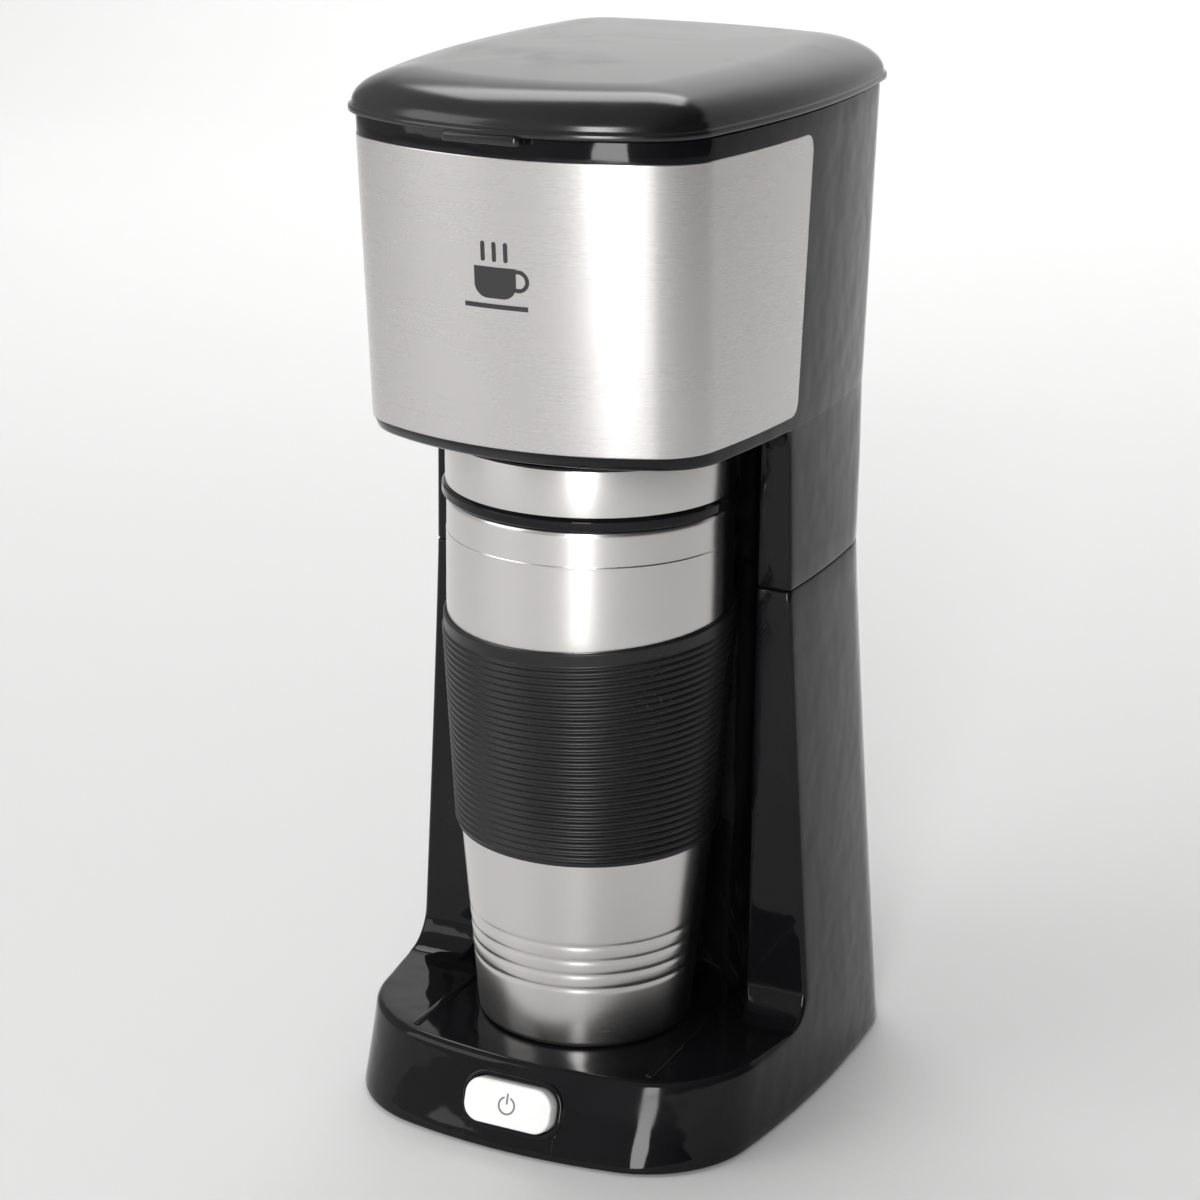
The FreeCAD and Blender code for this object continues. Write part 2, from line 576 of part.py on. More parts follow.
def heater_bars():
    """Strap over the boiler's legs, hung from the underside of the platform."""
    strap = box(-27.5, 27.5, 5, 11, Z_STRAP, Z_STRAP + 1)
    return strap.fuse(box(-3, 3, 5, 11, Z_STRAP, Z_FLOOR - WALL)).removeSplitter()


def heater_ends():
    """The two ceramic-tipped terminals of the heating element."""
    ends = []
    for x in (-ELEMENT_LEG, ELEMENT_LEG):
        tip = rod(2.2, (x, 22, HEATER_Z), (x, 30, HEATER_Z))
        ends.append(tip.fuse(rod(1.0, (x, 29, HEATER_Z), (x, 36, HEATER_Z))))
    return Part.makeCompound(ends)


def heating_element():
    """Sheathed heating rod that lies around the outside of the boiler."""
    return u_bar(R_ELEMENT, ELEMENT_LEG, 22.0)


def thermostat():
    disc = rod(8.0, (0, 8, Z_STRAP - 4.9), (0, 8, Z_STRAP))
    tabs = [box(7.0, 10.5, 6, 10, 14.0, 14.8)]
    return disc.fuse(tabs + mirrored(tabs)).removeSplitter()


def thermal_fuses():
    """Two fuse links that lie against the underside of the strap."""
    return Part.makeCompound([rod(2.2, (x, -2, Z_STRAP - 2.2), (x, 14, Z_STRAP - 2.2))
                              for x in (-13.5, 13.5)])


def check_valve():
    profile = ((2.6, 66), (6.4, 66), (6.4, 76), (4.6, 78), (2.6, 78))
    return turned(profile, INTAKE_X, INTAKE_Y)


def inlet_tube():
    """Silicone hose from the tank down to the boiler, in two lengths about the valve."""
    x, y, z = INTAKE_X, INTAKE_Y, HEATER_Z
    lower = path_tube(((x, y, 66.0), (x, y, z), (x, 36.0, z)), 5.0, 11.0)
    lower = lower.cut(path_tube(((x, y, 67.0), (x, y, z), (x, 34.5, z)), 3.0, 11.0))
    upper = ring(6.2, 4.6, (x, y, 78.0), (x, y, Z_TANK - 0.6))
    return Part.makeCompound([lower, upper])


def riser_tube():
    return ring(R_TUBE, 3.0, (RISER_X, RISER_Y, 18.5), (RISER_X, RISER_Y, 281.0))


def hose_clamps():
    clamps = [ring(5.2, R_TUBE, (RISER_X, RISER_Y, z), (RISER_X, RISER_Y, z + 4)) for z in (21, 268)]
    clamps.append(ring(6.2, 5.0, (INTAKE_X, 37.2, HEATER_Z), (INTAKE_X, 38.8, HEATER_Z)))
    clamps.append(ring(7.4, 6.2, (INTAKE_X, INTAKE_Y, 150.0), (INTAKE_X, INTAKE_Y, 154.0)))
    return Part.makeCompound(clamps)


# ---------------------------------------------------------------- switch and mains side
def button_bezel():
    outer = on_apron(pill(BUTTON_HALF + BEZEL_RIM, BUTTON_R + BEZEL_RIM, 4.5), BEZEL_PROUD)
    inner = on_apron(pill(BUTTON_HALF + 0.4, BUTTON_R + 0.4, 12), 4)
    return outer.cut(inner)


def power_button():
    cap = on_apron(pill(BUTTON_HALF, BUTTON_R, 6.5), 3.4)
    stem = on_apron(rod(2.2, (0, 0, 0), (0, 10.5, 0)), -3.0)
    return cap.fuse(stem).removeSplitter()


def power_symbol():
    """Ring with a gap at the top and a bar through the gap."""
    circle = ring(2.6, 2.1, (0, 0, 0), (0, 0.15, 0))
    circle = circle.cut(box(-0.9, 0.9, -1, 1, 0.5, 4))
    bar = box(-0.25, 0.25, 0, 0.15, 0.4, 3.4)
    return on_apron(Part.makeCompound([circle, bar]), 3.55)


def power_switch():
    body = on_apron(box(-10, 10, 9.0, 19.0, SWITCH_LOW, SWITCH_HIGH))
    pocket = on_apron(rod(2.6, (0, 8, 0), (0, 14.5 + BUTTON_TRAVEL, 0)))
    tabs = [on_apron(box(x - 2, x + 2, 19.0, 24.0, -0.5, 0.5)) for x in (-5.5, 5.5)]
    return body.cut(pocket).fuse(tabs)


def cord_gland():
    """Bush in the rear wall where a mains lead would enter; its bore is empty."""
    bush = rod(GLAND_R, (0, -4.0, 0), (0, 1.0, 0))
    collar = rod(8.2, (0, 0.1, 0), (0, 1.6, 0))
    nut = rod(8.2, (0, -6.5, 0), (0, -3.4, 0))
    bore = rod(3.4, (0, -8, 0), (0, 4, 0))
    return at_rear(bush.fuse([collar, nut]).cut(bore))


def terminal_block():
    block = box(26.0, 44.0, 50.0, 60.0, 4.5, 16.5)
    holes = [rod(1.6, (x, 49, 10.5), (x, 61, 10.5)) for x in (30.0, 35.0, 40.0)]
    return block.cut(Part.makeCompound(holes))


def column_screws():
    """Screws that draw the two housings together, through their posts at the seam."""
    screws = []
    for x in (-POST_X, POST_X):
        shank = rod(1.5, (x, POST_Y, 141), (x, POST_Y, 164))
        screws.append(shank.fuse(rod(3.0, (x, POST_Y, 139), (x, POST_Y, 141))))
    return Part.makeCompound(screws)


# ---------------------------------------------------------------- travel mug
def mug_shell():
    return turned(((30.2, MUG_Z), (30.5, MUG_Z + 3), (35.3, 82), (39.3, 146), (39.3, 172), (38.7, 175.5),
                   (37.9, 175.5), (38.5, 172), (38.5, 146), (34.5, 82), (29.7, MUG_Z + 3),
                   (29.4, MUG_Z)))


def mug_liner():
    return turned(((0, 31.0), (27.2, 31.0), (33.0, 82), (36.9, 146), (37.2, 175.5), (38.7, 175.5),
                   (38.7, 176.1), (36.6, 176.1), (36.3, 146), (32.4, 82), (26.7, 31.6), (0, 31.6)))


def mug_base_cap():
    return turned(((0, MUG_Z + 0.8), (29.4, MUG_Z + 0.8), (29.6, MUG_Z + 2.0), (0, MUG_Z + 2.0)))


def mug_sleeve():
    return turned(((35.3, 82), (36.6, 82), (40.6, 146), (39.3, 146)))


def mug_lid_top():
    body = turned(((33.8, 168), (35.8, 168), (35.8, 170.8), (34.8, 170.8), (34.8, 174.2),
                   (35.8, 174.2), (35.8, 181), (38.9, 181), (38.9, 193.8), (39.5, 193.8),
                   (39.5, 194.3), (38.9, 194.9), (36.5, 194.9), (36.0, 189.0), (5.0, 189.0),
                   (4.6, 187.0), (33.8, 187.0)))
    drink = slot((-5, DRINK_Y), (5, DRINK_Y), 2.2, 180, 190)
    return body.cut(drink)


def mug_lid_band():
    return turned(((38.9, 181), (39.5, 181), (39.5, 193.8), (38.9, 193.8)))


def mug_lid_collar():
    return turned(((35.8, 176.5), (39.8, 176.5), (40.4, 177.1), (40.4, 180.4), (39.8, 181.0),
                   (35.8, 181.0)))


def mug_lid_seal():
    return turned(((34.8, 170.8), (36.2, 171.6), (35.9, 172.5), (36.2, 173.4), (34.8, 174.2)))


def drink_slider():
    """Small slide that covers the drinking opening, with a ridge for the finger."""
    plate = box(-8.5, 8.5, DRINK_Y - 4.6, DRINK_Y + 5.4, 189.3, 191.0)
    corners = [e for e in plate.Edges if e.BoundBox.ZLength > 1]
    plate = plate.makeFillet(2.0, corners)
    return plate.fuse(box(-6, 6, DRINK_Y - 1.6, DRINK_Y + 1.2, 190, 193.6)).removeSplitter()


NODES = (base_housing, niche_wall, pillar_left, pillar_right, rear_shell, base_plate, rubber_feet,
         base_screws, upper_housing, upper_niche_wall, upper_pillar_left, upper_pillar_right,
         upper_rear_shell, steel_wrap, front_emblem, lid_shell, lid_liner, hinge_pin, brew_funnel,
         filter_basket, filter_grip, mesh_filter, water_tank, tank_strainer, shower_spout, boiler,
         heater_bars, heater_ends, heating_element, thermostat, thermal_fuses, check_valve,
         inlet_tube, riser_tube, hose_clamps, button_bezel, power_button, power_symbol,
         power_switch, cord_gland, terminal_block, column_screws, mug_shell, mug_liner,
         mug_base_cap, mug_sleeve, mug_lid_top, mug_lid_band, mug_lid_collar, mug_lid_seal,
         drink_slider)

os.makedirs("parts", exist_ok=True)
for make in NODES:
    shape = make()
    shape.translate(V(0, Y_MIDDLE, 0))
    print("%-18s valid %s solids %d volume %.0f" % (make.__name__, shape.isValid(),
                                                    len(shape.Solids), shape.Volume))
    shape.exportStep("parts/%s.step" % make.__name__)
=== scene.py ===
"""One-cup drip coffee maker with its travel mug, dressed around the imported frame.

Every new piece is a grid of points worked out with numpy, in millimetres about the head's
middle.
"""
import json
import math

import bpy
import numpy as np
from mathutils import Euler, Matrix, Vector


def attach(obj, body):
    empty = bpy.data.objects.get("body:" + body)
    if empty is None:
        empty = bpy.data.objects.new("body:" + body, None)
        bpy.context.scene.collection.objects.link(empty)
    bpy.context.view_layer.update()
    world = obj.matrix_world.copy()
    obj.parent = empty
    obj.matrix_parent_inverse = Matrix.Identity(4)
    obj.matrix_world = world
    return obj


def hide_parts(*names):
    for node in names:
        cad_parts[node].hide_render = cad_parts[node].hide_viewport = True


bl_info = {
    "name": "One-cup drip coffee maker",
    "version": (1, 0, 0),
    "blender": (4, 5, 0),
    "location": "View3D > Sidebar > Coffee maker",
    "description": "Builds the visible pieces of a one-cup coffee maker around its frame",
    "category": "Object",
}

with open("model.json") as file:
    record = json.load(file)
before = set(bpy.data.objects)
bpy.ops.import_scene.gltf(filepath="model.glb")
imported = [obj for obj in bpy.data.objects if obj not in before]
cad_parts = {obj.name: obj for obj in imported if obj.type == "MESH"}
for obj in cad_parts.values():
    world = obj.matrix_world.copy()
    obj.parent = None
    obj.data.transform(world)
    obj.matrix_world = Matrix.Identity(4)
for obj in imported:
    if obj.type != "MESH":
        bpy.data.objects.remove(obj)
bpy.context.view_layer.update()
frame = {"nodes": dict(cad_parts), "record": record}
MM = 0.001
BOTH = (True, True)      # a grid closed at its first and last row

# Planforms of the housing, as ovals of tangent arcs, in millimetres: half width, y of the widest
# place, y of front and back, then the radii of side, front, back, front corner and rear corner.
BASE = np.array((64.3, 15.0, -76.1, 72.0, 361.0, 170.0, 200.0, 34.0, 26.0))
SEAM = np.array((54.8, 8.0, -60.0, 68.5, 340.0, 120.0, 190.0, 27.0, 37.0))
HEAD_LOW = np.array((53.5, 0.0, -75.8, 71.2, 316.0, 86.0, 150.0, 19.5, 28.5))
HEAD_MID = np.array((53.7, 0.0, -78.8, 71.1, 316.0, 86.0, 150.0, 19.5, 28.5))
HEAD_TOP = np.array((55.8, 0.0, -85.6, 69.5, 316.0, 84.0, 150.0, 20.0, 28.5))
LIP = np.array((57.0, 0.0, -90.5, 70.9, 316.0, 78.0, 150.0, 24.0, 25.0))

Y_MIDDLE = 6.85          # the frame's origin lies this far in front of the head's widest place
Z_SKIRT, Z_FLOOR, Z_SEAM = 0.8, 25.0, 153.0
Z_HEAD, Z_PANEL, Z_PANEL_TOP, Z_RIM, Z_LIP, Z_TOP = 198.0, 202.0, 277.0, 282.8, 283.2, 295.0
MUG_Y, R_NICHE, R_STEP = -25.4, 46.0, 10.0
Y_PILLAR_LOW, Y_PILLAR_SEAM, Y_PILLAR_TOP = -9.0, -13.4, -15.0
Y_PANEL_END = -11.0
HINGE_Y, HINGE_Z, R_HINGE = 74.3, 283.5, 3.2
LEAN = math.atan2(7.8, Z_FLOOR)
BUTTON = Vector((0.0, -71.5, 13.6))
GLAND, GLAND_TILT = Vector((0.0, 71.75, 14.0)), math.radians(1.5)
R_GLAND_HOLE, R_NOZZLE_HOLE = 5.95, 7.0
EAR_INNER, EAR_OUTER, KNUCKLE_END = 15.3, 21.0, 15.0
RAIL_X, RAIL_Y = 36.0, -29.0
SIDES = ((-1, "left"), (1, "right"))


# ---- meshes
def smooth_object(name, points, faces, finish):
    """Object in the scene from points in metres and lists of point numbers, shaded smooth."""
    mesh = bpy.data.meshes.new(name)
    mesh.from_pydata(points.tolist(), [], faces)
    mesh.validate()
    mesh.polygons.foreach_set("use_smooth", np.ones(len(mesh.polygons), bool))
    mesh.materials.append(finish_named(finish))
    made = bpy.data.objects.new(name, mesh)
    bpy.context.scene.collection.objects.link(made)
    return made


def grid_faces(rows, columns, around=True, flip=False):
    """Quads of a grid of rows by columns, closed around when asked."""
    last = columns if around else columns - 1
    r, c = np.meshgrid(np.arange(rows - 1), np.arange(last), indexing="ij")
    a, b = r * columns + c, r * columns + (c + 1) % columns
    quads = np.stack((a, b, b + columns, a + columns), -1).reshape(-1, 4)
    return (quads[:, ::-1] if flip else quads).tolist()


def grid_piece(name, grid, finish, body, stands_for=(), around=True, flip=False, poles=(False, False)):
    """Piece from a grid of (rows, columns, 3) points in millimetres, which rides on a body; a
    pole closes the first or last row with a fan."""
    rows, columns = grid.shape[:2]
    points = grid.reshape(-1, 3)
    faces = grid_faces(rows, columns, around, flip)
    ring = np.arange(columns)
    for end, wanted in enumerate(poles):
        if not wanted:
            continue
        row = grid[0] if end == 0 else grid[-1]
        first = 0 if end == 0 else (rows - 1) * columns
        centre = len(points)
        points = np.vstack((points, row.mean(0)))
        fan = np.stack((ring + first, np.full(columns, centre), (ring + 1) % columns + first), -1)
        faces += (fan[:, ::-1] if flip != (end == 1) else fan).tolist()
    piece = smooth_object(name, (points + (0, Y_MIDDLE, 0)) * MM, faces, finish)
    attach(piece, body)
    if stands_for:
        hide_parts(*stands_for)
    return piece


def walled(piece, thickness):
    """Gives a skin its wall, towards the inside."""
    wall = piece.modifiers.new("wall", "SOLIDIFY")
    wall.thickness, wall.offset, wall.use_even_offset = thickness * MM, -1.0, True


# ---- outlines
FRONT, R_FRONT = 2, 5    # places of the front's y and radius in a planform
FLARE, FRONT_FLARE = 1.1, 4


def blend(first, second, share):
    """From the first value to the second."""
    return first + (second - first) * share


def base_planform(z):
    """Planform of the lower housing: the flare fades towards the seam, faster at the front."""
    left = np.clip((Z_SEAM - z) / (Z_SEAM - Z_SKIRT), 0, None)
    plan = blend(SEAM, BASE, left ** FLARE)
    plan[FRONT] = blend(SEAM[FRONT], BASE[FRONT], left ** FRONT_FLARE)
    return plan


def head_planform(z):
    """Planform of the head: straight lines between its three sections."""
    if z < Z_PANEL:
        return blend(HEAD_LOW, HEAD_MID, (z - Z_HEAD) / (Z_PANEL - Z_HEAD))
    return blend(HEAD_MID, HEAD_TOP, (z - Z_PANEL) / (Z_RIM - Z_PANEL))


def touching_centre(side, r_side, end, r_end, r_corner, front):
    """Centre of a corner circle inside two arcs that it touches, towards front or back."""
    r1, r2 = r_side - r_corner, r_end - r_corner
    d = np.subtract(end, side)
    gap = np.hypot(*d)
    along = (r1 ** 2 - r2 ** 2 + gap ** 2) / (2 * gap)
    off = math.sqrt(r1 ** 2 - along ** 2)
    u = d / gap
    ends = [np.array(side) + along * u + s * off * np.array((-u[1], u[0])) for s in (1, -1)]
    return min(ends, key=lambda p: p[1] if front else -p[1])


def arc(centre, radius, start, end, count=90):
    """Points on a circle between the directions of two points, the short way round."""
    a = math.atan2(start[1] - centre[1], start[0] - centre[0])
    b = math.atan2(end[1] - centre[1], end[0] - centre[0])
    b += 2 * math.pi * round((a - b) / (2 * math.pi))
    t = np.linspace(a, b, count)
    return np.stack((centre[0] + radius * np.cos(t), centre[1] + radius * np.sin(t)), -1)


def wall_line(plan, grow=0.0):
    """Right half of a planform from the middle of the back to the middle of the front:
    back arc, rear corner, side, front corner and front arc, grown outwards by a distance."""
    a, y_mid, y_front, y_back, r_side, r_front, r_back, r_fc, r_rc = plan
    side, front, back = (a - r_side, y_mid), (0.0, y_front + r_front), (0.0, y_back - r_back)
    fc = touching_centre(side, r_side, front, r_front, r_fc, True)
    rc = touching_centre(side, r_side, back, r_back, r_rc, False)
    far_rc = rc + (rc - back) / np.hypot(*(rc - back))
    out_rc = rc + (rc - side) / np.hypot(*(rc - side))
    out_fc = fc + (fc - side) / np.hypot(*(fc - side))
    far_fc = fc + (fc - front) / np.hypot(*(fc - front))
    parts = [arc(back, r_back + grow, (0.0, y_back), far_rc), arc(rc, r_rc + grow, far_rc, out_rc),
             arc(side, r_side + grow, out_rc, out_fc), arc(fc, r_fc + grow, out_fc, far_fc),
             arc(front, r_front + grow, far_fc, (0.0, y_front))]
    return np.vstack([part[min(k, 1):] for k, part in enumerate(parts)])


def lengths(line):
    """Length of a line up to each of its points."""
    return np.r_[0, np.cumsum(np.hypot(*np.diff(line, axis=0).T))]


def along(line, places):
    """Points of a line at places from 0 to 1 of its length."""
    length = lengths(line)
    s = np.asarray(places) * length[-1]
    return np.stack([np.interp(s, length, line[:, k]) for k in range(line.shape[1])], -1)


def place_at_y(line, y):
    """Place from 0 to 1 where the side of a wall line passes a y."""
    length = lengths(line)
    return float(np.interp(-y, -line[:, 1], length)) / length[-1]


def both_halves(half):
    """Closed outline from its right half; the points on the middle plane aren't doubled."""
    left = half[-2:0:-1] * (-1, 1)
    return np.vstack((half, left))


def raised(outline, z):
    """Outline in the plane lifted to one height, or to a height for each point."""
    return np.column_stack((outline, np.broadcast_to(z, len(outline))))


def oval(plan, grow, count=150):
    """Closed planform with evenly spaced points."""
    return both_halves(along(wall_line(plan, grow), np.linspace(0, 1, count)))


def round_box(x, y, radius, count=64):
    """Rectangle of half sizes x and y with round corners, as a function of its growth."""
    def outline(grow=0.0):
        t = np.linspace(0, 2 * np.pi, count, endpoint=False) + 2 * np.pi / count / 2
        r = max(radius + grow, 0.05)
        return np.stack((np.sign(np.cos(t)) * (x - radius) + r * np.cos(t),
                         np.sign(np.sin(t)) * (y - radius) + r * np.sin(t)), -1)
    return outline


def slab(outline, low, high, edge, steps=5):
    """Rows of a plate between two heights whose edges are quarter circles."""
    t = np.linspace(0, np.pi / 2, steps)
    rows = [raised(outline(edge * (np.sin(a) - 1)), low + edge * (1 - np.cos(a))) for a in t]
    rows += [raised(outline(edge * (np.sin(a) - 1)), high - edge * (1 - np.cos(a))) for a in t[::-1]]
    return np.array(rows)


def lathe(profile, y=MUG_Y, x=0.0, count=144):
    """Profile of (radius, height) points turned about a vertical axis."""
    t = np.linspace(0, 2 * np.pi, count, endpoint=False)
    r, z = np.asarray(profile, float).T
    return np.stack((x + np.outer(r, np.cos(t)), y + np.outer(r, np.sin(t)),
                     np.outer(z, np.ones(count))), -1)


ALMOST_STRAIGHT = 1.56   # half of a corner's angle, in radians, from which it stays as it is


def rounded(profile, radius, steps=5):
    """Profile whose inner corners are replaced by arcs of a radius (or one radius each)."""
    profile = np.asarray(profile, float)
    radii = np.broadcast_to(radius, len(profile))
    out = [profile[0]]
    for before, corner, after, r in zip(profile, profile[1:], profile[2:], radii[1:]):
        u, v = before - corner, after - corner
        lu, lv = np.hypot(*u), np.hypot(*v)
        u, v = u / lu, v / lv
        half = math.acos(np.clip(u @ v, -1, 1)) / 2
        if r <= 0 or half > ALMOST_STRAIGHT:
            out.append(corner)
            continue
        reach = min(r / math.tan(half), 0.49 * lu, 0.49 * lv)
        t = np.linspace(0, 1, steps)[:, None]
        p, q = corner + u * reach, corner + v * reach
        out += list((1 - t) ** 2 * p + 2 * t * (1 - t) * corner + t ** 2 * q)
    out.append(profile[-1])
    return np.array(out)


def on_apron(points):
    """Moves points made flat (x, up the apron, out of it) onto the leaning front apron."""
    x, up, out = points[..., 0], points[..., 1], points[..., 2]
    return np.stack((BUTTON.x + x,
                     BUTTON.y + up * math.sin(LEAN) - out * math.cos(LEAN),
                     BUTTON.z + up * math.cos(LEAN) + out * math.sin(LEAN)), -1)


# ---- materials
def node_group(name, inputs, outputs, build):
    """Shader group with named float inputs and outputs; build(tree, entry, leave) wires it."""
    tree = bpy.data.node_groups.new(name, "ShaderNodeTree")
    for label, value in inputs.items():
        socket = tree.interface.new_socket(label, in_out="INPUT", socket_type="NodeSocketFloat")
        socket.default_value = value
    for label in outputs:
        tree.interface.new_socket(label, in_out="OUTPUT", socket_type="NodeSocketFloat")
    build(tree, tree.nodes.new("NodeGroupInput"), tree.nodes.new("NodeGroupOutput"))
    return tree


def node(tree, kind, links=(), **values):
    """New node with its properties set; links are (input, output socket) pairs."""
    made = tree.nodes.new(kind)
    for key, value in values.items():
        if hasattr(made, key):
            setattr(made, key, value)
        else:
            made.inputs[key.replace("_", " ")].default_value = value
    for target, source in links:
        tree.links.new(made.inputs[target], source)
    return made


def own_place(tree):
    """Place in the object's own coordinates, in metres."""
    return node(tree, "ShaderNodeTexCoord").outputs["Object"]


def noise(tree, place, *links, **values):
    """Noise texture over a place."""
    return node(tree, "ShaderNodeTexNoise", (("Vector", place), *links), **values)


def math_node(tree, operation, a, b, clamp=False):
    """Output of a calculation with two values, each a number or a socket."""
    made = tree.nodes.new("ShaderNodeMath")
    made.operation, made.use_clamp = operation, clamp
    for socket, value in zip(made.inputs, (a, b)):
        if isinstance(value, (int, float)):
            socket.default_value = value
        else:
            tree.links.new(socket, value)
    return made.outputs[0]


LEVEL_STRETCH = 0.006    # how much slower the brushing changes along a line than across it


def brushed_group():
    """Brushing: noise squeezed along Z and drawn out level, and a slower patchy shade."""
    def build(tree, entry, leave):
        place = own_place(tree)
        squeeze = tree.nodes.new("ShaderNodeCombineXYZ")
        slow = math_node(tree, "MULTIPLY", entry.outputs["Fineness"], LEVEL_STRETCH)
        for axis, source in (("X", slow), ("Y", slow), ("Z", entry.outputs["Fineness"])):
            tree.links.new(squeeze.inputs[axis], source)
        drawn = node(tree, "ShaderNodeVectorMath", ((0, place), (1, squeeze.outputs[0])),
                     operation="MULTIPLY")
        lines = noise(tree, drawn.outputs[0], Scale=1.0, Detail=3.0)
        patch = noise(tree, place, Scale=28.0, Detail=4.0, Roughness=0.6)
        tree.links.new(leave.inputs["Lines"], lines.outputs["Fac"])
        tree.links.new(leave.inputs["Patches"], patch.outputs["Fac"])
    return node_group("brushing", {"Fineness": 2600.0}, ("Lines", "Patches"), build)


def moulding_group():
    """Moulded skin: slow waves of the wall, a fine grain, and handling smudges."""
    def build(tree, entry, leave):
        place = own_place(tree)
        waves = noise(tree, place, ("Scale", entry.outputs["Wave Scale"]), Detail=1.0)
        grain = noise(tree, place, ("Scale", entry.outputs["Grain Scale"]), Detail=4.0, Roughness=0.65)
        smudge = noise(tree, place, Scale=22.0, Detail=6.0, Distortion=0.6)
        soft = node(tree, "ShaderNodeMapRange", (("Value", smudge.outputs["Fac"]),),
                    From_Min=0.48, From_Max=0.72)
        for label, source in (("Waves", waves), ("Grain", grain)):
            tree.links.new(leave.inputs[label], source.outputs["Fac"])
        tree.links.new(leave.inputs["Smudges"], soft.outputs[0])
    return node_group("moulding", {"Wave Scale": 30.0, "Grain Scale": 1800.0},
                      ("Waves", "Grain", "Smudges"), build)


def dust_group():
    """Dust: sparse specks where a cell is small and a slow noise is high."""
    def build(tree, entry, leave):
        place = own_place(tree)
        cells = node(tree, "ShaderNodeTexVoronoi",
                     (("Vector", place), ("Scale", entry.outputs["Speck Scale"])))
        speck = math_node(tree, "LESS_THAN", cells.outputs["Distance"], entry.outputs["Speck Size"])
        where = noise(tree, place, Scale=38.0, Detail=3.0)
        chosen = node(tree, "ShaderNodeMapRange", (("Value", where.outputs["Fac"]),),
                      From_Min=0.56, From_Max=0.66)
        tree.links.new(leave.inputs["Specks"], math_node(tree, "MULTIPLY", speck, chosen.outputs[0]))
    return node_group("dust", {"Speck Scale": 700.0, "Speck Size": 0.16}, ("Specks",), build)


def surface(name, colour, roughness, **constants):
    """Material with a Principled shader whose constant values are set on its own sockets."""
    made = bpy.data.materials.new(name)
    made.use_nodes = True
    shader = made.node_tree.nodes["Principled BSDF"]
    shader.inputs["Base Color"].default_value = (*colour, 1.0)
    shader.inputs["Roughness"].default_value = roughness
    for key, value in constants.items():
        shader.inputs[key.replace("_", " ")].default_value = value
    return made, made.node_tree, shader


def bump(tree, shader, height, strength, distance):
    """Bends the shader's normal by a height; the distance is in millimetres."""
    made = node(tree, "ShaderNodeBump", (("Height", height),), Strength=strength, Distance=distance * MM)
    tree.links.new(shader.inputs["Normal"], made.outputs["Normal"])


def varied(tree, factor, low, high):
    """Value that runs from low to high with a factor from 0 to 1."""
    return node(tree, "ShaderNodeMapRange", (("Value", factor),), From_Min=0.0, From_Max=1.0,
                To_Min=low, To_Max=high).outputs[0]


def tinted(tree, factor, first, second):
    """Colour that runs from the first to the second with a factor from 0 to 1."""
    made = node(tree, "ShaderNodeMix", ((0, factor),), data_type="RGBA")
    made.inputs[6].default_value, made.inputs[7].default_value = (*first, 1), (*second, 1)
    return made.outputs[2]


def shaded(tree, shader, factor, first, second):
    """Gives the shader a colour that runs from the first to the second with a factor."""
    tree.links.new(shader.inputs["Base Color"], tinted(tree, factor, first, second))


def steel(name, group, shade, roughness, fineness, bump_strength, anisotropic):
    """Brushed stainless steel: lines in colour, roughness and bump, faint handling patches."""
    made, tree, shader = surface(name, shade, roughness, Metallic=1.0, Anisotropic=anisotropic,
                                 Anisotropic_Rotation=0.25)
    brush = node(tree, "ShaderNodeGroup", node_tree=group, Fineness=fineness)
    lines, patches = brush.outputs["Lines"], brush.outputs["Patches"]
    darker = tuple(c * 0.93 for c in shade)
    both = math_node(tree, "ADD", math_node(tree, "MULTIPLY", lines, 0.6),
                     math_node(tree, "MULTIPLY", patches, 0.4))
    shaded(tree, shader, both, darker, shade)
    rough = math_node(tree, "ADD", varied(tree, lines, roughness - 0.02, roughness + 0.02),
                      varied(tree, patches, -0.03, 0.04))
    tree.links.new(shader.inputs["Roughness"], rough)
    bump(tree, shader, lines, bump_strength, 0.02)
    return made


def plastic(name, group, shade, roughness, wave, grain, waves_mm, specular=0.5):
    """Moulded plastic: slow waves bend the reflections, grain and smudges change the gloss."""
    made, tree, shader = surface(name, shade, roughness, Specular_IOR_Level=specular)
    skin = node(tree, "ShaderNodeGroup", node_tree=group)
    skin.inputs["Wave Scale"].default_value = wave
    rough = math_node(tree, "ADD", varied(tree, skin.outputs["Smudges"], roughness, roughness + 0.09),
                      varied(tree, skin.outputs["Grain"], -0.02, 0.02), clamp=True)
    tree.links.new(shader.inputs["Roughness"], rough)
    lighter = tuple(min(1.0, c * 1.25 + 0.002) for c in shade)
    shaded(tree, shader, skin.outputs["Smudges"], shade, lighter)
    height = math_node(tree, "ADD", math_node(tree, "MULTIPLY", skin.outputs["Waves"], waves_mm * 20),
                       math_node(tree, "MULTIPLY", skin.outputs["Grain"], grain))
    bump(tree, shader, height, 1.0, 0.05)
    return made


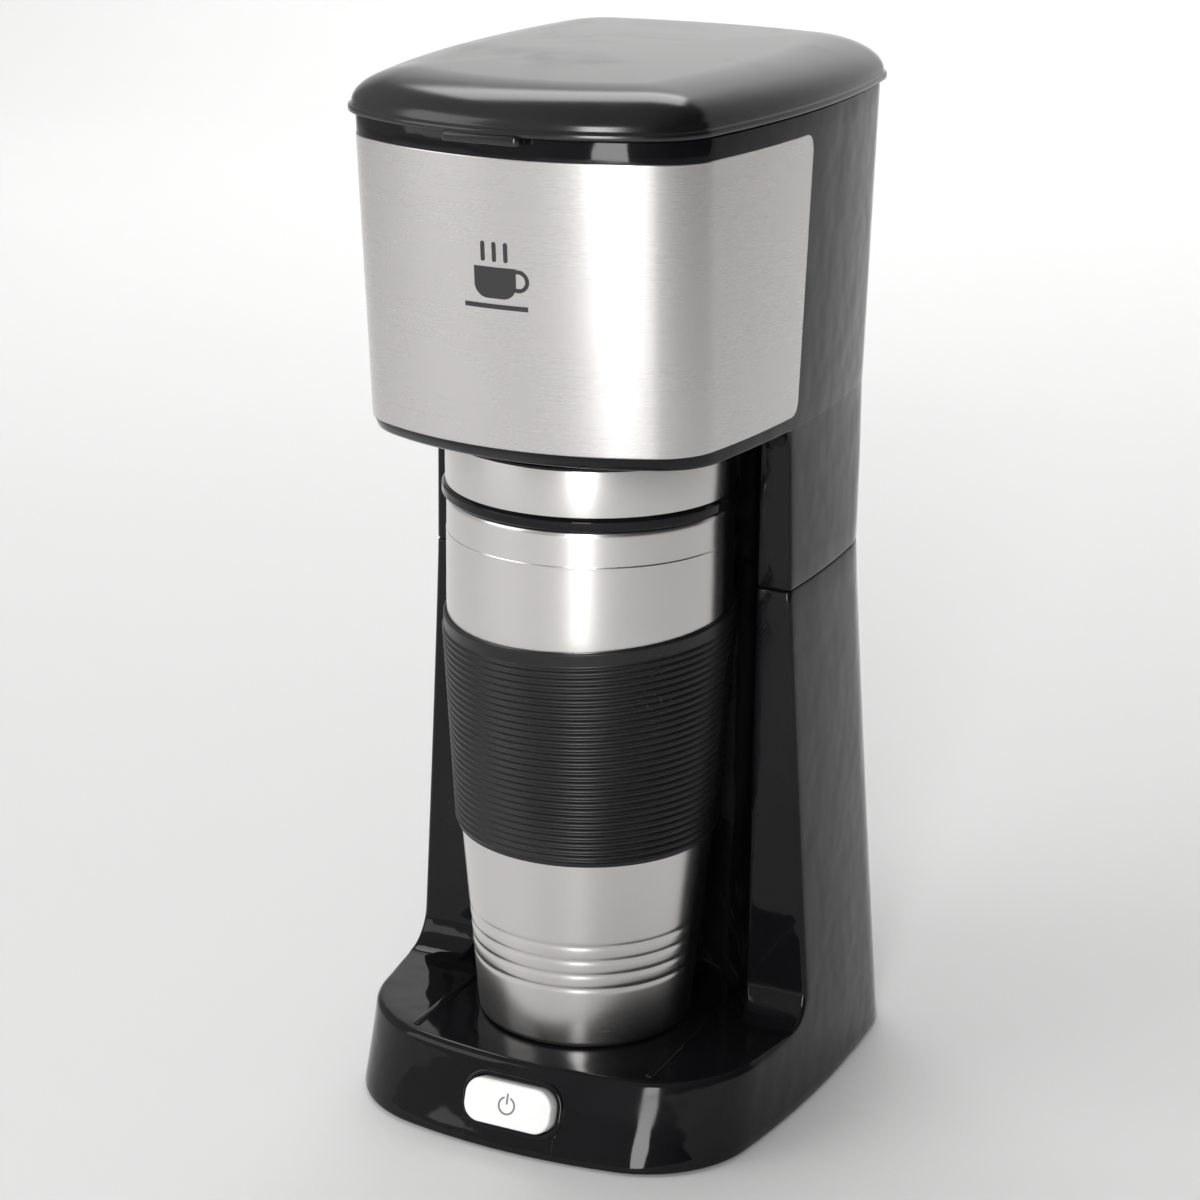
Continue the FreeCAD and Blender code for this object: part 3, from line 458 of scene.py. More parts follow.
# Moulded finishes: name, colour, roughness, scale of the waves, height of grain and waves, and
# the specular level where it isn't the usual one.
PLASTICS = {
    "black_gloss": ("black_gloss_plastic", (0.005, 0.005, 0.006), 0.06, 95.0, 0.01, 0.28, 0.22),
    "lid_satin": ("lid_satin_plastic", (0.008, 0.008, 0.009), 0.17, 18.0, 0.03, 0.05, 0.55),
    "black_satin": ("inner_satin_plastic", (0.022, 0.022, 0.024), 0.38, 30.0, 0.12, 0.08),
    "silicone": ("silicone_rubber", (0.74, 0.73, 0.70), 0.42, 50.0, 0.10, 0.05),
    "tank": ("smoke_tank_plastic", (0.075, 0.078, 0.085), 0.22, 28.0, 0.05, 0.08),
    "white": ("white_button_plastic", (0.86, 0.86, 0.85), 0.26, 60.0, 0.03, 0.04),
    "grey_print": ("grey_print_ink", (0.20, 0.20, 0.20), 0.5, 90.0, 0.10, 0.02),
    "emblem": ("emblem_print_ink", (0.022, 0.022, 0.024), 0.46, 90.0, 0.10, 0.02),
    "ceramic": ("glazed_ceramic", (0.80, 0.78, 0.72), 0.2, 60.0, 0.04, 0.03),
}
# Brushed finishes: colour, roughness, fineness of the lines, strength of the bump, anisotropy.
STEELS = {
    "panel_steel": ((0.66, 0.645, 0.635), 0.27, 3000.0, 0.07, 0.55),
    "mug_steel": ((0.68, 0.665, 0.65), 0.25, 3000.0, 0.06, 0.55),
    "bright_steel": ((0.66, 0.66, 0.66), 0.24, 3000.0, 0.06, 0.2),
}


def make_materials():
    """Every finish by name."""
    brush, skin, dust = brushed_group(), moulding_group(), dust_group()
    made = {key: plastic(name, skin, *values) for key, (name, *values) in PLASTICS.items()}
    made.update({key: steel(key, brush, *values) for key, values in STEELS.items()})
    made.update(steel_mesh=mesh_steel(), rubber=rubber_finish(skin, dust), cast=cast_metal(),
                floor=floor_finish())
    return made


MATERIALS = {}


def finish_named(name):
    """Finish by name; the first call makes them all."""
    if not MATERIALS:
        MATERIALS.update(make_materials())
    return MATERIALS[name]


# The finish that each material slot of the record takes.
SLOT_FINISH = {
    "black_gloss": "black_gloss", "black_satin": "black_satin", "brushed_steel": "mug_steel",
    "bright_steel": "bright_steel", "steel_mesh": "steel_mesh", "rubber": "rubber",
    "silicone": "silicone", "tank_plastic": "tank", "button_white": "white",
    "grey_print": "grey_print", "cast_aluminium": "cast", "heater_fittings": "ceramic",
}


def mesh_steel():
    """Fine woven wire: crossed waves give the bump, and painted shade colours the gaps between wires near
    black.
    """
    made, tree, shader = surface("woven_steel_mesh", (0.55, 0.55, 0.54), 0.35, Metallic=1.0)
    place = own_place(tree)
    waves = [node(tree, "ShaderNodeTexWave", (("Vector", place),), bands_direction=axis, Scale=520.0)
             for axis in ("X", "Z")]
    weave_and_gap_shade = math_node(tree, "MAXIMUM", waves[0].outputs["Fac"], waves[1].outputs["Fac"])
    # Painted shade: the gaps between wires are coloured near black, standing in for the shade behind the
    # mesh.
    shaded(tree, shader, weave_and_gap_shade, (0.08, 0.08, 0.08), (0.62, 0.61, 0.60))
    bump(tree, shader, weave_and_gap_shade, 0.8, 0.2)
    return made


def rubber_finish(skin, dust):
    """Matt moulded rubber with pale rubbed places and specks of dust."""
    made, tree, shader = surface("moulded_rubber", (0.006, 0.006, 0.007), 0.40,
                                 Specular_IOR_Level=0.40)
    moulding = node(tree, "ShaderNodeGroup", node_tree=skin)
    specks = node(tree, "ShaderNodeGroup", node_tree=dust)
    rubbed = tinted(tree, moulding.outputs["Smudges"], (0.005, 0.005, 0.006), (0.010, 0.010, 0.011))
    pale = math_node(tree, "MULTIPLY", specks.outputs["Specks"], 0.3)
    dusty = node(tree, "ShaderNodeMix", ((0, pale), (6, rubbed)), data_type="RGBA")
    dusty.inputs[7].default_value = (0.20, 0.19, 0.18, 1)
    tree.links.new(shader.inputs["Base Color"], dusty.outputs[2])
    tree.links.new(shader.inputs["Roughness"], varied(tree, moulding.outputs["Smudges"], 0.34, 0.48))
    bump(tree, shader, moulding.outputs["Grain"], 0.35, 0.05)
    return made


def cast_metal():
    """Cast aluminium: grainy, dull and slightly patchy."""
    made, tree, shader = surface("cast_aluminium", (0.60, 0.60, 0.61), 0.45, Metallic=1.0)
    place = own_place(tree)
    grain = noise(tree, place, Scale=900.0, Detail=5.0)
    shaded(tree, shader, grain.outputs["Fac"], (0.50, 0.50, 0.51), (0.68, 0.68, 0.69))
    tree.links.new(shader.inputs["Roughness"], varied(tree, grain.outputs["Fac"], 0.35, 0.6))
    bump(tree, shader, grain.outputs["Fac"], 0.6, 0.15)
    return made


def floor_finish():
    """Pale matt floor with a hardly visible cloudiness."""
    made, tree, shader = surface("pale_floor", (0.93, 0.93, 0.93), 0.7, Specular_IOR_Level=0.2)
    place = own_place(tree)
    cloud = noise(tree, place, Scale=3.0, Detail=3.0)
    shaded(tree, shader, cloud.outputs["Fac"], (0.91, 0.91, 0.91), (0.95, 0.95, 0.95))
    return made


# ---- housings
WALL_POINTS, EDGE_POINTS, FACE_POINTS, NICHE_POINTS = 64, 6, 8, 30
R_PILLAR_EDGE = 1.5      # round of the pillars' edges
LEVEL_DROP = 0.25        # keeps the level face's rows apart along the wall, which has no such face


def column_half(plan, y_face, edge, inset=0.0):
    """Right half of the column's outline: outer wall from the back to the pillar, round edge,
    pillar face, round edge, and the niche as part of a circle about the mug's axis."""
    wall = wall_line(plan, -inset)
    half_width, y_mid, r_wall = plan[0], plan[1], plan[4]
    side = np.array((half_width - r_wall, y_mid))
    r_side, r_niche, y_face = r_wall - inset, R_NICHE + inset, y_face + inset
    y_edge = y_face + edge
    outer = np.array((side[0] + math.sqrt((r_side - edge) ** 2 - (y_edge - side[1]) ** 2), y_edge))
    inner = np.array((math.sqrt((r_niche + edge) ** 2 - (y_edge - MUG_Y) ** 2), y_edge))
    start = outer + (outer - side) / np.hypot(*(outer - side)) * edge
    away = np.array((0.0, MUG_Y)) - inner
    end = inner + away / np.hypot(*away) * edge
    cut = place_at_y(wall, start[1])
    parts = [along(wall, np.linspace(0, cut, WALL_POINTS)),
             arc(outer, edge, start, outer - (0, edge), EDGE_POINTS)[1:],
             np.linspace(outer - (0, edge), inner - (0, edge), FACE_POINTS)[1:],
             arc(inner, edge, inner - (0, edge), end, EDGE_POINTS)[1:],
             arc((0.0, MUG_Y), r_niche, end, (0.0, MUG_Y + r_niche), NICHE_POINTS)[1:]]
    return np.vstack(parts), cut


def outer_half(plan, cut, grow, fade):
    """Right half of the full planform with as many points as column_half; from the pillar on,
    it follows the front, and grow fades in over the pillar's edge."""
    front = EDGE_POINTS + FACE_POINTS + EDGE_POINTS + NICHE_POINTS - 4
    places = np.r_[np.linspace(0, cut, WALL_POINTS), np.linspace(cut, 1, front + 1)[1:]]
    plain, grown = along(wall_line(plan), places), along(wall_line(plan, grow), places)
    return blend(plain, grown, fade[:, None])


def case_rows(column, plan_at, z_turn, rim, outer):
    """Rows of a housing's skin: the column (rows of z, pillar face, inset), the level face
    between niche and rim, the round rim of a radius, and the outer wall (rows of z, grow)."""
    sign = 1 if outer[-1][0] > z_turn else -1
    rows = []
    for z, y_face, inset in column:
        half, cut = column_half(plan_at(z), y_face, R_PILLAR_EDGE, inset)
        rows.append(raised(both_halves(half), z))
    count = len(half)
    index = np.arange(count)
    fade = np.clip((index - WALL_POINTS + 1) / (EDGE_POINTS + 2.0), 0, 1)
    level = rows[-1][:count, :2]
    for share in (0.05, 0.3, 0.6, 0.9, 1.0):
        target = outer_half(plan_at(z_turn), cut, -rim, fade)
        flat = blend(level, target, share)
        z_line = z_turn + sign * LEVEL_DROP * share * (1 - fade)
        rows.append(raised(both_halves(flat), np.r_[z_line, z_line[-2:0:-1]]))
    for t in np.radians((20, 40, 60, 75, 90)):
        z = z_turn + sign * max(rim * (1 - math.cos(t)), 0.3)
        half = outer_half(plan_at(z), cut, -rim * (1 - math.sin(t)), fade)
        z_line = blend(z, z_turn + sign * rim * (1 - math.cos(t)), fade)
        rows.append(raised(both_halves(half), np.r_[z_line, z_line[-2:0:-1]]))
    ones = np.ones(count)
    for z, grow in outer:
        rows.append(raised(both_halves(outer_half(plan_at(z), cut, grow, ones)), z))
    return np.array(rows)


def pillar_rows():
    """Column rows of the lower housing from the seam down: straight, then a fillet that
    brings the pillar face forward onto the platform."""
    rows = [(Z_SEAM, Y_PILLAR_SEAM, 0.45), (Z_SEAM - 0.4, Y_PILLAR_SEAM, 0.1)]
    top = Z_FLOOR + R_STEP
    for share in np.linspace(0.006, 1, 18):
        rows.append((blend(Z_SEAM, top, share), blend(Y_PILLAR_SEAM, Y_PILLAR_LOW, share), 0.0))
    for t in np.radians(np.linspace(4, 90, 16)):
        rows.append((Z_FLOOR + R_STEP * (1 - math.sin(t)), Y_PILLAR_LOW - R_STEP * (1 - math.cos(t)), 0.0))
    return rows


class COFFEE_OT_lower_case(bpy.types.Operator):
    """Lower housing: flared column with the niche, mug platform and front apron"""
    bl_idname = "coffee.lower_case"
    bl_label = "Lower housing"

    def execute(self, context):
        size = context.scene.coffee_case
        outer = [(z, 0.0) for z in np.linspace(Z_FLOOR - size.rim_radius - 1.5, Z_SKIRT + 1.0, 9)]
        outer += [(Z_SKIRT + 0.3, -0.25), (Z_SKIRT, -0.9)]
        rows = case_rows(pillar_rows(), base_planform, Z_FLOOR, size.rim_radius, outer)
        skin = grid_piece("lower_case", rows, "black_gloss", "housing",
                          ("base_housing", "niche_wall", "pillar_left", "pillar_right", "rear_shell"))
        walled(skin, size.wall)
        cut_holes(skin, [button_cutter(), gland_cutter()])
        bar = slab(round_box(1.1, 31.5, 0.9, 24), Z_FLOOR - 0.5, Z_FLOOR + 0.55, 0.4, 4)
        for side, name in SIDES:
            grid_piece("platform_rail_" + name, bar + (side * RAIL_X, RAIL_Y, 0), "black_gloss",
                       "housing", poles=BOTH)
        return {"FINISHED"}


def parting_thread(side):
    """Fine raised line that runs down the apron beside the button: a thin tube along the
    front arc's own surface, at an x that moves out a little towards the lower edge."""
    top, bottom, start_x, spread, half_width, proud, sunk = 6.9, 1.7, 13.4, 0.025, 0.13, 0.10, 0.02
    z = np.linspace(top, bottom, 14)
    x = side * (start_x + spread * (top - z) ** 2)
    plans = np.array([base_planform(level) for level in z])
    radius = plans[:, R_FRONT]
    y = plans[:, FRONT] + radius - np.sqrt(radius ** 2 - x ** 2)
    t = np.linspace(0, 2 * np.pi, 8, endpoint=False)
    return np.stack((x[:, None] + half_width * np.cos(t), y[:, None] - sunk + proud * np.sin(t),
                     np.repeat(z[:, None], len(t), 1)), -1)


# Outline of the button's opening: a long box with large round corners.
button_outline = round_box(13.6, 6.6, 5.4, 96)


def button_cutter():
    """Plug through the apron, a little wider than the button."""
    return on_apron(slab(button_outline, -6.0, 4.0, 0.1, 2))


def gland_cutter():
    """Round plug through the rear wall along the gland's own axis."""
    t = np.linspace(0, 2 * np.pi, 48, endpoint=False)
    x, across = R_GLAND_HOLE * np.cos(t), R_GLAND_HOLE * np.sin(t)
    rings = np.array([np.stack((x, np.full(len(t), depth), across), -1) for depth in (9.0, -9.0)])
    y = rings[..., 1] * math.cos(GLAND_TILT) - rings[..., 2] * math.sin(GLAND_TILT)
    z = rings[..., 1] * math.sin(GLAND_TILT) + rings[..., 2] * math.cos(GLAND_TILT)
    return np.stack((rings[..., 0], y, z), -1) + np.array(GLAND)


def cut_holes(piece, cutters):
    """Cuts plugs out of a piece and applies the result; the plugs are removed again."""
    tools = []
    for number, rows in enumerate(cutters):
        tool = grid_piece("cutter_%d" % number, rows, "black_gloss", "housing", poles=BOTH)
        tools.append(tool)
        hole = piece.modifiers.new("hole", "BOOLEAN")
        hole.object, hole.operation, hole.solver = tool, "DIFFERENCE", "EXACT"
    bpy.context.view_layer.update()
    mesh = bpy.data.meshes.new_from_object(piece.evaluated_get(bpy.context.evaluated_depsgraph_get()))
    piece.modifiers.clear()
    piece.data = mesh
    for tool in tools:
        bpy.data.objects.remove(tool)


class COFFEE_OT_upper_case(bpy.types.Operator):
    """Upper housing: column above the seam, head with its rim, and the hinge ears"""
    bl_idname = "coffee.upper_case"
    bl_label = "Upper housing"

    def execute(self, context):
        size = context.scene.coffee_case
        column = [(Z_SEAM, Y_PILLAR_SEAM, 0.45), (Z_SEAM + 0.4, Y_PILLAR_SEAM, 0.1)]
        for share in np.linspace(0.02, 1, 8):
            column.append((blend(Z_SEAM, Z_HEAD, share), blend(Y_PILLAR_SEAM, Y_PILLAR_TOP, share), 0.0))
        outer = [(Z_HEAD + 2.2, 0.0), (Z_PANEL, 0.0), (Z_PANEL + 0.3, 0.0)]
        outer += [(z, 0.0) for z in np.linspace(Z_PANEL + 8, Z_RIM - 0.6, 12)]
        outer += [(Z_RIM - 0.2, -0.2), (Z_RIM, -0.7), (Z_RIM, -size.wall)]

        def plan_at(z):
            if z >= Z_HEAD:
                return head_planform(z)
            return blend(SEAM, HEAD_LOW, (z - Z_SEAM) / (Z_HEAD - Z_SEAM))

        rows = case_rows(column, plan_at, Z_HEAD, 1.0, outer)
        skin = grid_piece("upper_case", rows, "black_gloss", "housing",
                          ("upper_housing", "upper_niche_wall", "upper_pillar_left", "upper_pillar_right",
                           "upper_rear_shell"), flip=True)
        walled(skin, size.wall)
        hole = round_box(R_NOZZLE_HOLE, R_NOZZLE_HOLE, R_NOZZLE_HOLE, 48)
        cut_holes(skin, [slab(hole, Z_HEAD - 5, Z_HEAD + 8, 0.1, 2) + (0, MUG_Y, 0)])
        for side, name in SIDES:
            ear = hinge_block(*sorted((side * EAR_INNER, side * EAR_OUTER)), True)
            grid_piece("hinge_ear_" + name, ear, "black_gloss", "housing", poles=BOTH)
        return {"FINISHED"}


def hinge_block(x0, x1, down):
    """Hinge barrel with a web, drawn along X: a circle joined to a foot on the wall or lid."""
    if down:
        t = np.radians(np.linspace(-40, 190, 28))
        foot = np.array(((-5.6, -1.3), (-5.6, -9.7), (-4.8, -9.7), (-1.2, -6.1)))
    else:
        t = np.radians(np.linspace(-150, 90, 28))
        foot = np.array(((-4.6, 3.2), (-5.4, 2.4), (-5.4, 0.2)))
    barrel = np.stack((R_HINGE * np.cos(t), R_HINGE * np.sin(t)), -1)
    outline = np.vstack((barrel, foot)) + (HINGE_Y, HINGE_Z)
    centre = outline.mean(0)
    ends = ((0.0, 0.94), (0.12, 0.985), (0.4, 1.0))
    rows = []
    for x, shrink in [(x0 + d, s) for d, s in ends] + [(x1 - d, s) for d, s in ends[::-1]]:
        ring = blend(centre, outline, shrink)
        rows.append(np.column_stack((np.full(len(ring), x), ring)))
    return np.array(rows)


class COFFEE_OT_steel_panel(bpy.types.Operator):
    """Brushed steel panel that wraps the head, and the finish of the printed mark"""
    bl_idname = "coffee.steel_panel"
    bl_label = "Steel panel"

    def execute(self, context):
        corner, proud, sheet, columns = 4.0, 0.2, 0.17, 260
        half = np.linspace(0, 1, columns // 2 + 1)
        rows = []
        for level in np.r_[0, 0.004, np.linspace(0.02, 0.98, 26), 0.996, 1]:
            z_level = blend(Z_PANEL, Z_PANEL_TOP, level)
            line = wall_line(head_planform(z_level), proud)
            start = place_at_y(line, Y_PANEL_END)
            length = (1 - start) * lengths(line)[-1]
            near = np.clip(corner - half * length, 0, None)
            dip = corner - np.sqrt(corner ** 2 - near ** 2)
            z = z_level + dip * (1 - 2 * level)
            right = np.column_stack((along(line, start + (1 - start) * half), z))
            rows.append(np.vstack((right, right[-2::-1] * (-1, 1, 1))))
        panel = grid_piece("steel_panel", np.array(rows), "panel_steel", "housing", ("steel_wrap",),
                           around=False, flip=True)
        walled(panel, sheet)
        frame["nodes"]["front_emblem"].data.materials[0] = finish_named("emblem")
        return {"FINISHED"}


# ---- lid
LIP_PROFILE = ((-2.2, 0), (-0.5, 0), (-0.12, 0.12), (0.0, 0.45), (0.0, 1.25), (-0.12, 1.55),
               (-0.45, 1.75), (-0.75, 1.9), (-0.9, 2.3))      # growth and height over Z_LIP


class COFFEE_OT_lid(bpy.types.Operator):
    """Pillow-shaped lid with its lip, thumb tab and hinge knuckle"""
    bl_idname = "coffee.lid"
    bl_label = "Lid"

    def execute(self, context):
        size = context.scene.coffee_lid
        rows = [raised(oval(LIP, grow), Z_LIP + up) for grow, up in LIP_PROFILE]
        grow, up = LIP_PROFILE[-1]
        rise = Z_TOP - size.crown - (Z_LIP + up)
        power = 2 / size.shoulder
        for t in np.radians(np.linspace(4, 90, 26)):
            inset = size.width * (1 - math.cos(t) ** power)
            rows.append(raised(oval(LIP, grow - inset), Z_LIP + up + rise * math.sin(t) ** power))
        edge = rows[-1]
        middle = np.array((0.0, (edge[:, 1].max() + edge[:, 1].min()) / 2, 0.0))
        for share in (0.9, 0.75, 0.55, 0.3, 0.12):
            row = middle + (edge - middle) * (share, share, 0)
            row[:, 2] = Z_TOP - size.crown * share ** 2
            rows.append(row)
        dome = grid_piece("lid_dome", np.array(rows), "lid_satin", "lid", ("lid_shell",),
                          flip=True, poles=(False, True))
        walled(dome, context.scene.coffee_case.wall)
        tab = slab(round_box(10.6, 2.6, 1.6, 40), 281.2, 283.6, 0.6, 4) + (0.0, -88.6, 0)
        grid_piece("lid_tab", tab, "lid_satin", "lid", poles=BOTH)
        knuckle = hinge_block(-KNUCKLE_END, KNUCKLE_END, False)
        grid_piece("lid_knuckle", knuckle, "lid_satin", "lid", poles=BOTH)
        return {"FINISHED"}


# ---- button
# Section of the surround: growth of the outline and height out of the apron.
SURROUND_PROFILE = ((1.9, -0.5), (1.6, 0.05), (1.2, 0.30), (0.7, 0.38), (0.3, 0.30), (0.08, 0.05),
                    (0.0, -0.5), (0.0, -2.6), (1.0, -2.6), (1.8, -1.4), (1.9, -0.5))
BUTTON_GAP = 0.4


class COFFEE_OT_button(bpy.types.Operator):
    """Push button, its raised surround and the parting lines below it"""
    bl_idname = "coffee.button"
    bl_label = "Button"

    def execute(self, context):
        rows = np.array([raised(button_outline(grow), out) for grow, out in SURROUND_PROFILE])
        grid_piece("button_surround", on_apron(rows), "black_gloss", "housing", ("button_bezel",),
                   flip=True)
        cap = slab(lambda grow: button_outline(grow - BUTTON_GAP), -3.0, 3.4, 0.9, 6)
        grid_piece("button_cap", on_apron(cap), "white", "button", ("power_button",), poles=BOTH)
        for side, name in SIDES:
            grid_piece("parting_thread_" + name, parting_thread(side), "black_gloss", "housing",
                       poles=BOTH)
        return {"FINISHED"}


# ---- travel mug
def mug_radius(z):
    """Outer radius of the steel mug: two cones below, a cylinder above."""
    return np.interp(z, (25.3, 28.3, 82.0, 146.0, 176.3, 177.2), (30.2, 30.5, 35.3, 39.3, 39.3, 38.9))


RING_HEIGHTS = (43.6, 48.0, 52.4, 56.8)
Z_WELD = 167.5
# Sections of (radius, height) points: foot and inside of the mug, collar and band of its lid.
FOOT = ((28.4, 27.2), (28.6, 25.9), (28.9, 25.45), (29.6, 25.3), (30.0, 25.6), (30.2, 26.1))
INSIDE = ((38.5, 177.1), (37.6, 177.2), (36.8, 176.6), (36.3, 146.0), (32.4, 82.0), (26.9, 33.0),
          (24.0, 31.6), (3.0, 31.6))
INSIDE_ROUNDS = (0, 0.3, 0.5, 0, 0, 1.0, 0.6, 0)
COLLAR = ((35.9, 177.6), (39.9, 177.6), (40.4, 178.2), (40.4, 180.3), (39.8, 181.0), (35.9, 181.0),
          (35.9, 177.6))
BAND = ((38.9, 181.0), (39.5, 181.2), (39.55, 187.0), (39.5, 193.7), (38.9, 193.9), (38.9, 181.0))


class COFFEE_OT_tumbler(bpy.types.Operator):
    """Travel mug: steel shell with rings, ribbed rubber sleeve, steel-banded lid"""
    bl_idname = "coffee.tumbler"
    bl_label = "Travel mug"

    def execute(self, context):
        size = context.scene.coffee_mug
        z = np.concatenate((np.linspace(26.6, 82, 200), np.linspace(83, 166.4, 40),
                            np.linspace(166.8, 168.2, 15), np.linspace(169, 176.2, 12), (176.7, 177.0)))
        rings = sum(np.exp(-((z - centre) / size.ring_width) ** 2) for centre in RING_HEIGHTS)
        weld = 0.10 * np.exp(-((z - Z_WELD) / 0.18) ** 2) + 0.05 * np.tanh((Z_WELD - z) / 0.2)
        outside = np.stack((mug_radius(z) - size.ring_depth * rings + weld - 0.06, z), -1)
        profile = np.vstack((FOOT, outside, rounded(INSIDE, INSIDE_ROUNDS)))
        grid_piece("mug_body", lathe(profile), "mug_steel", "mug", ("mug_shell", "mug_liner"),
                   poles=BOTH)
        sleeve_piece(size)
        grid_piece("mug_collar", lathe(rounded(COLLAR, 0.35)), "black_gloss", "mug_lid",
                   ("mug_lid_collar",))
        band = grid_piece("mug_band", lathe(rounded(BAND, 0.2)), "mug_steel", "mug_lid",
                          ("mug_lid_band",))
        return {"FINISHED"}


SLEEVE_LOW, SLEEVE_HIGH, R_SLEEVE = 81.9, 146.0, 38.0
BARE_BELOW, BARE_ABOVE = 0.8, 3.2                  # heights without ribs at the two ends
PULL_X, PULL_Y = 0.035 * 39, 0.062 * 39            # rise of the top edge towards +X and +Y
PAD_Z, PAD_HALF_U, PAD_HALF_V, PAD_ROUND = 113.0, 8.0, 21.5, 3.0


def sleeve_piece(size):
    """Rubber sleeve: a cone with fine ribs, its top edge pulled up on one side. The ribs end
    at a smooth grip pad with a raised border; the profile is carried once round the mug."""
    count, rows = 220, 400
    turn = np.linspace(0, 2 * np.pi, count, endpoint=False)
    v = np.linspace(0, 1, rows)
    height = SLEEVE_HIGH - SLEEVE_LOW
    z_level = SLEEVE_LOW + height * v
    ribbed = (np.clip((SLEEVE_HIGH - BARE_ABOVE - z_level) / 0.4, 0, 1)
              * np.clip((z_level - SLEEVE_LOW - BARE_BELOW) / 0.3, 0, 1))
    phase = (z_level - SLEEVE_LOW) / size.rib_pitch * 2 * np.pi
    wave = (0.5 + 0.5 * np.cos(phase)) ** 1.6 * ribbed
    pad_turn = (turn - math.radians(size.pad_angle) + np.pi) % (2 * np.pi) - np.pi
    du = np.maximum(np.abs(pad_turn) * R_SLEEVE - (PAD_HALF_U - PAD_ROUND), 0)[None]
    dv = np.maximum(np.abs(z_level - PAD_Z) - (PAD_HALF_V - PAD_ROUND), 0)[:, None]
    edge = np.hypot(du, dv) - PAD_ROUND
    inside = np.clip(-edge / 0.5, 0, 1)
    border = np.exp(-(edge / 0.55) ** 2)
    relief = size.rib_height * wave[:, None] * (1 - inside) + 0.45 * border + 0.12 * inside
    z = z_level[:, None] + v[:, None] * (PULL_X * np.cos(turn) + PULL_Y * np.sin(turn))[None]
    body = mug_radius(z) + 0.1 + np.minimum(1.0, 0.9 + 0.1 * v)[:, None]
    ends = np.clip(np.minimum(v, 1 - v) * height / 0.5, 0, 1)[:, None]
    r = body + relief * ends - 0.35 * (1 - np.sqrt(1 - (1 - ends) ** 2))
    outer = np.stack((r * np.cos(turn), MUG_Y + r * np.sin(turn), z), -1)
    r_in = mug_radius(z[[-1, 0]]) + 0.06
    inner = np.stack((r_in * np.cos(turn), MUG_Y + r_in * np.sin(turn), z[[-1, 0]]), -1)
    grid = np.concatenate((outer, inner, outer[:1]))
    grid_piece("rubber_sleeve", grid, "rubber", "mug", ("mug_sleeve",))


# ---- frame finishes
class COFFEE_OT_finishes(bpy.types.Operator):
    """Gives every shown node of the frame the finish of its material slot"""
    bl_idname = "coffee.finishes"
    bl_label = "Finishes"

    def execute(self, context):
        for part in frame["record"]["subparts"]:
            finish = finish_named(SLOT_FINISH[part["material_slot"]])
            mesh = frame["nodes"][part["node"]].data
            for number in range(len(mesh.materials)):
                mesh.materials[number] = finish
        return {"FINISHED"}


# ---- stage
# Soft lights: place, aim, width and height in metres; the power of each is a setting.
LIGHTS = {
    "key": ((-1.15, -1.1, 0.75), (0, 0, 0.15), 1.0, 1.1),
    "strip": ((0.50, -1.5, 0.45), (0, 0, 0.2), 0.36, 1.1),
    "top": ((-0.5, 1.0, 1.5), (-0.3, 0.7, 0), 1.2, 0.7),
    "backdrop": ((-0.9, 1.3, 1.7), (-1.0, 2.2, 0.9), 1.8, 0.7),
}
BRIGHT_WAY = (-0.78, -0.48, 0.40)                  # where the surroundings are brightest


def soft_box(name, place, aim, width, height, power):
    """Rectangular light at a place, turned towards its aim."""
    data = bpy.data.lights.new(name, "AREA")
    data.shape, data.size, data.size_y, data.energy = "RECTANGLE", width, height, power
    light = bpy.data.objects.new(name, data)
    light.location = place
    light.rotation_euler = (Vector(aim) - Vector(place)).to_track_quat("-Z", "Y").to_euler()
    bpy.context.scene.collection.objects.link(light)


class COFFEE_OT_stage(bpy.types.Operator):
    """Pale floor, soft studio lights and the camera"""
    bl_idname = "coffee.stage"
    bl_label = "Stage"

    def execute(self, context):
        look = context.scene.coffee_stage
        half, near, front, back, bend, rise = 3.0, -2.6, -1.5, 1.4, 0.8, 2.2
        t = np.radians(np.linspace(0, 90, 12))
        y = np.r_[near, np.linspace(front, back, 8), back + bend * np.sin(t)[1:], back + bend]
        z = np.r_[0, np.zeros(8), bend * (1 - np.cos(t))[1:], rise]
        grid = np.stack((np.repeat(np.array(((-half, half),)), len(y), 0),
                         np.repeat(y[:, None], 2, 1), np.repeat(z[:, None], 2, 1)), -1)
        floor = smooth_object("floor", grid.reshape(-1, 3), grid_faces(len(y), 2, around=False), "floor")
        for name, (place, aim, width, height) in LIGHTS.items():
            soft_box(name, place, aim, width, height, getattr(look, name))
        world = bpy.data.worlds.new("studio")
        world.use_nodes = True
        tree = world.node_tree
        way = node(tree, "ShaderNodeTexCoord").outputs["Generated"]
        facing = node(tree, "ShaderNodeVectorMath", ((0, way),), operation="DOT_PRODUCT")
        facing.inputs[1].default_value = BRIGHT_WAY
        shade = node(tree, "ShaderNodeMapRange", (("Value", facing.outputs["Value"]),),
                     From_Min=-0.35, From_Max=0.9, To_Min=look.world_dark, To_Max=look.world_bright)
        tree.links.new(tree.nodes["Background"].inputs["Strength"], shade.outputs[0])
        tree.nodes["Background"].inputs["Color"].default_value = (*look.world, 1)
        context.scene.world = world
        camera = bpy.data.objects.new("camera", bpy.data.cameras.new("camera"))
        camera.location = look.camera_place
        yaw, pitch, roll = (math.radians(a) for a in look.camera_turn)
        turn = Euler((math.pi / 2 - pitch, 0.0, yaw)).to_matrix() @ Euler((0, 0, roll)).to_matrix()
        camera.rotation_euler = turn.to_euler()
        camera.data.sensor_width, camera.data.lens = 36.0, look.lens
        context.scene.collection.objects.link(camera)
        context.scene.camera = camera
        context.scene.view_settings.view_transform = "Standard"
        return {"FINISHED"}


# ---- settings
def setting(name, text, value, low, high):
    """Number with a range."""
    return bpy.props.FloatProperty(name=name, description=text, default=value, min=low, max=high)


def power_setting(name, text, value):
    """Power of a light."""
    return bpy.props.FloatProperty(name=name, description=text, default=value, unit="POWER")


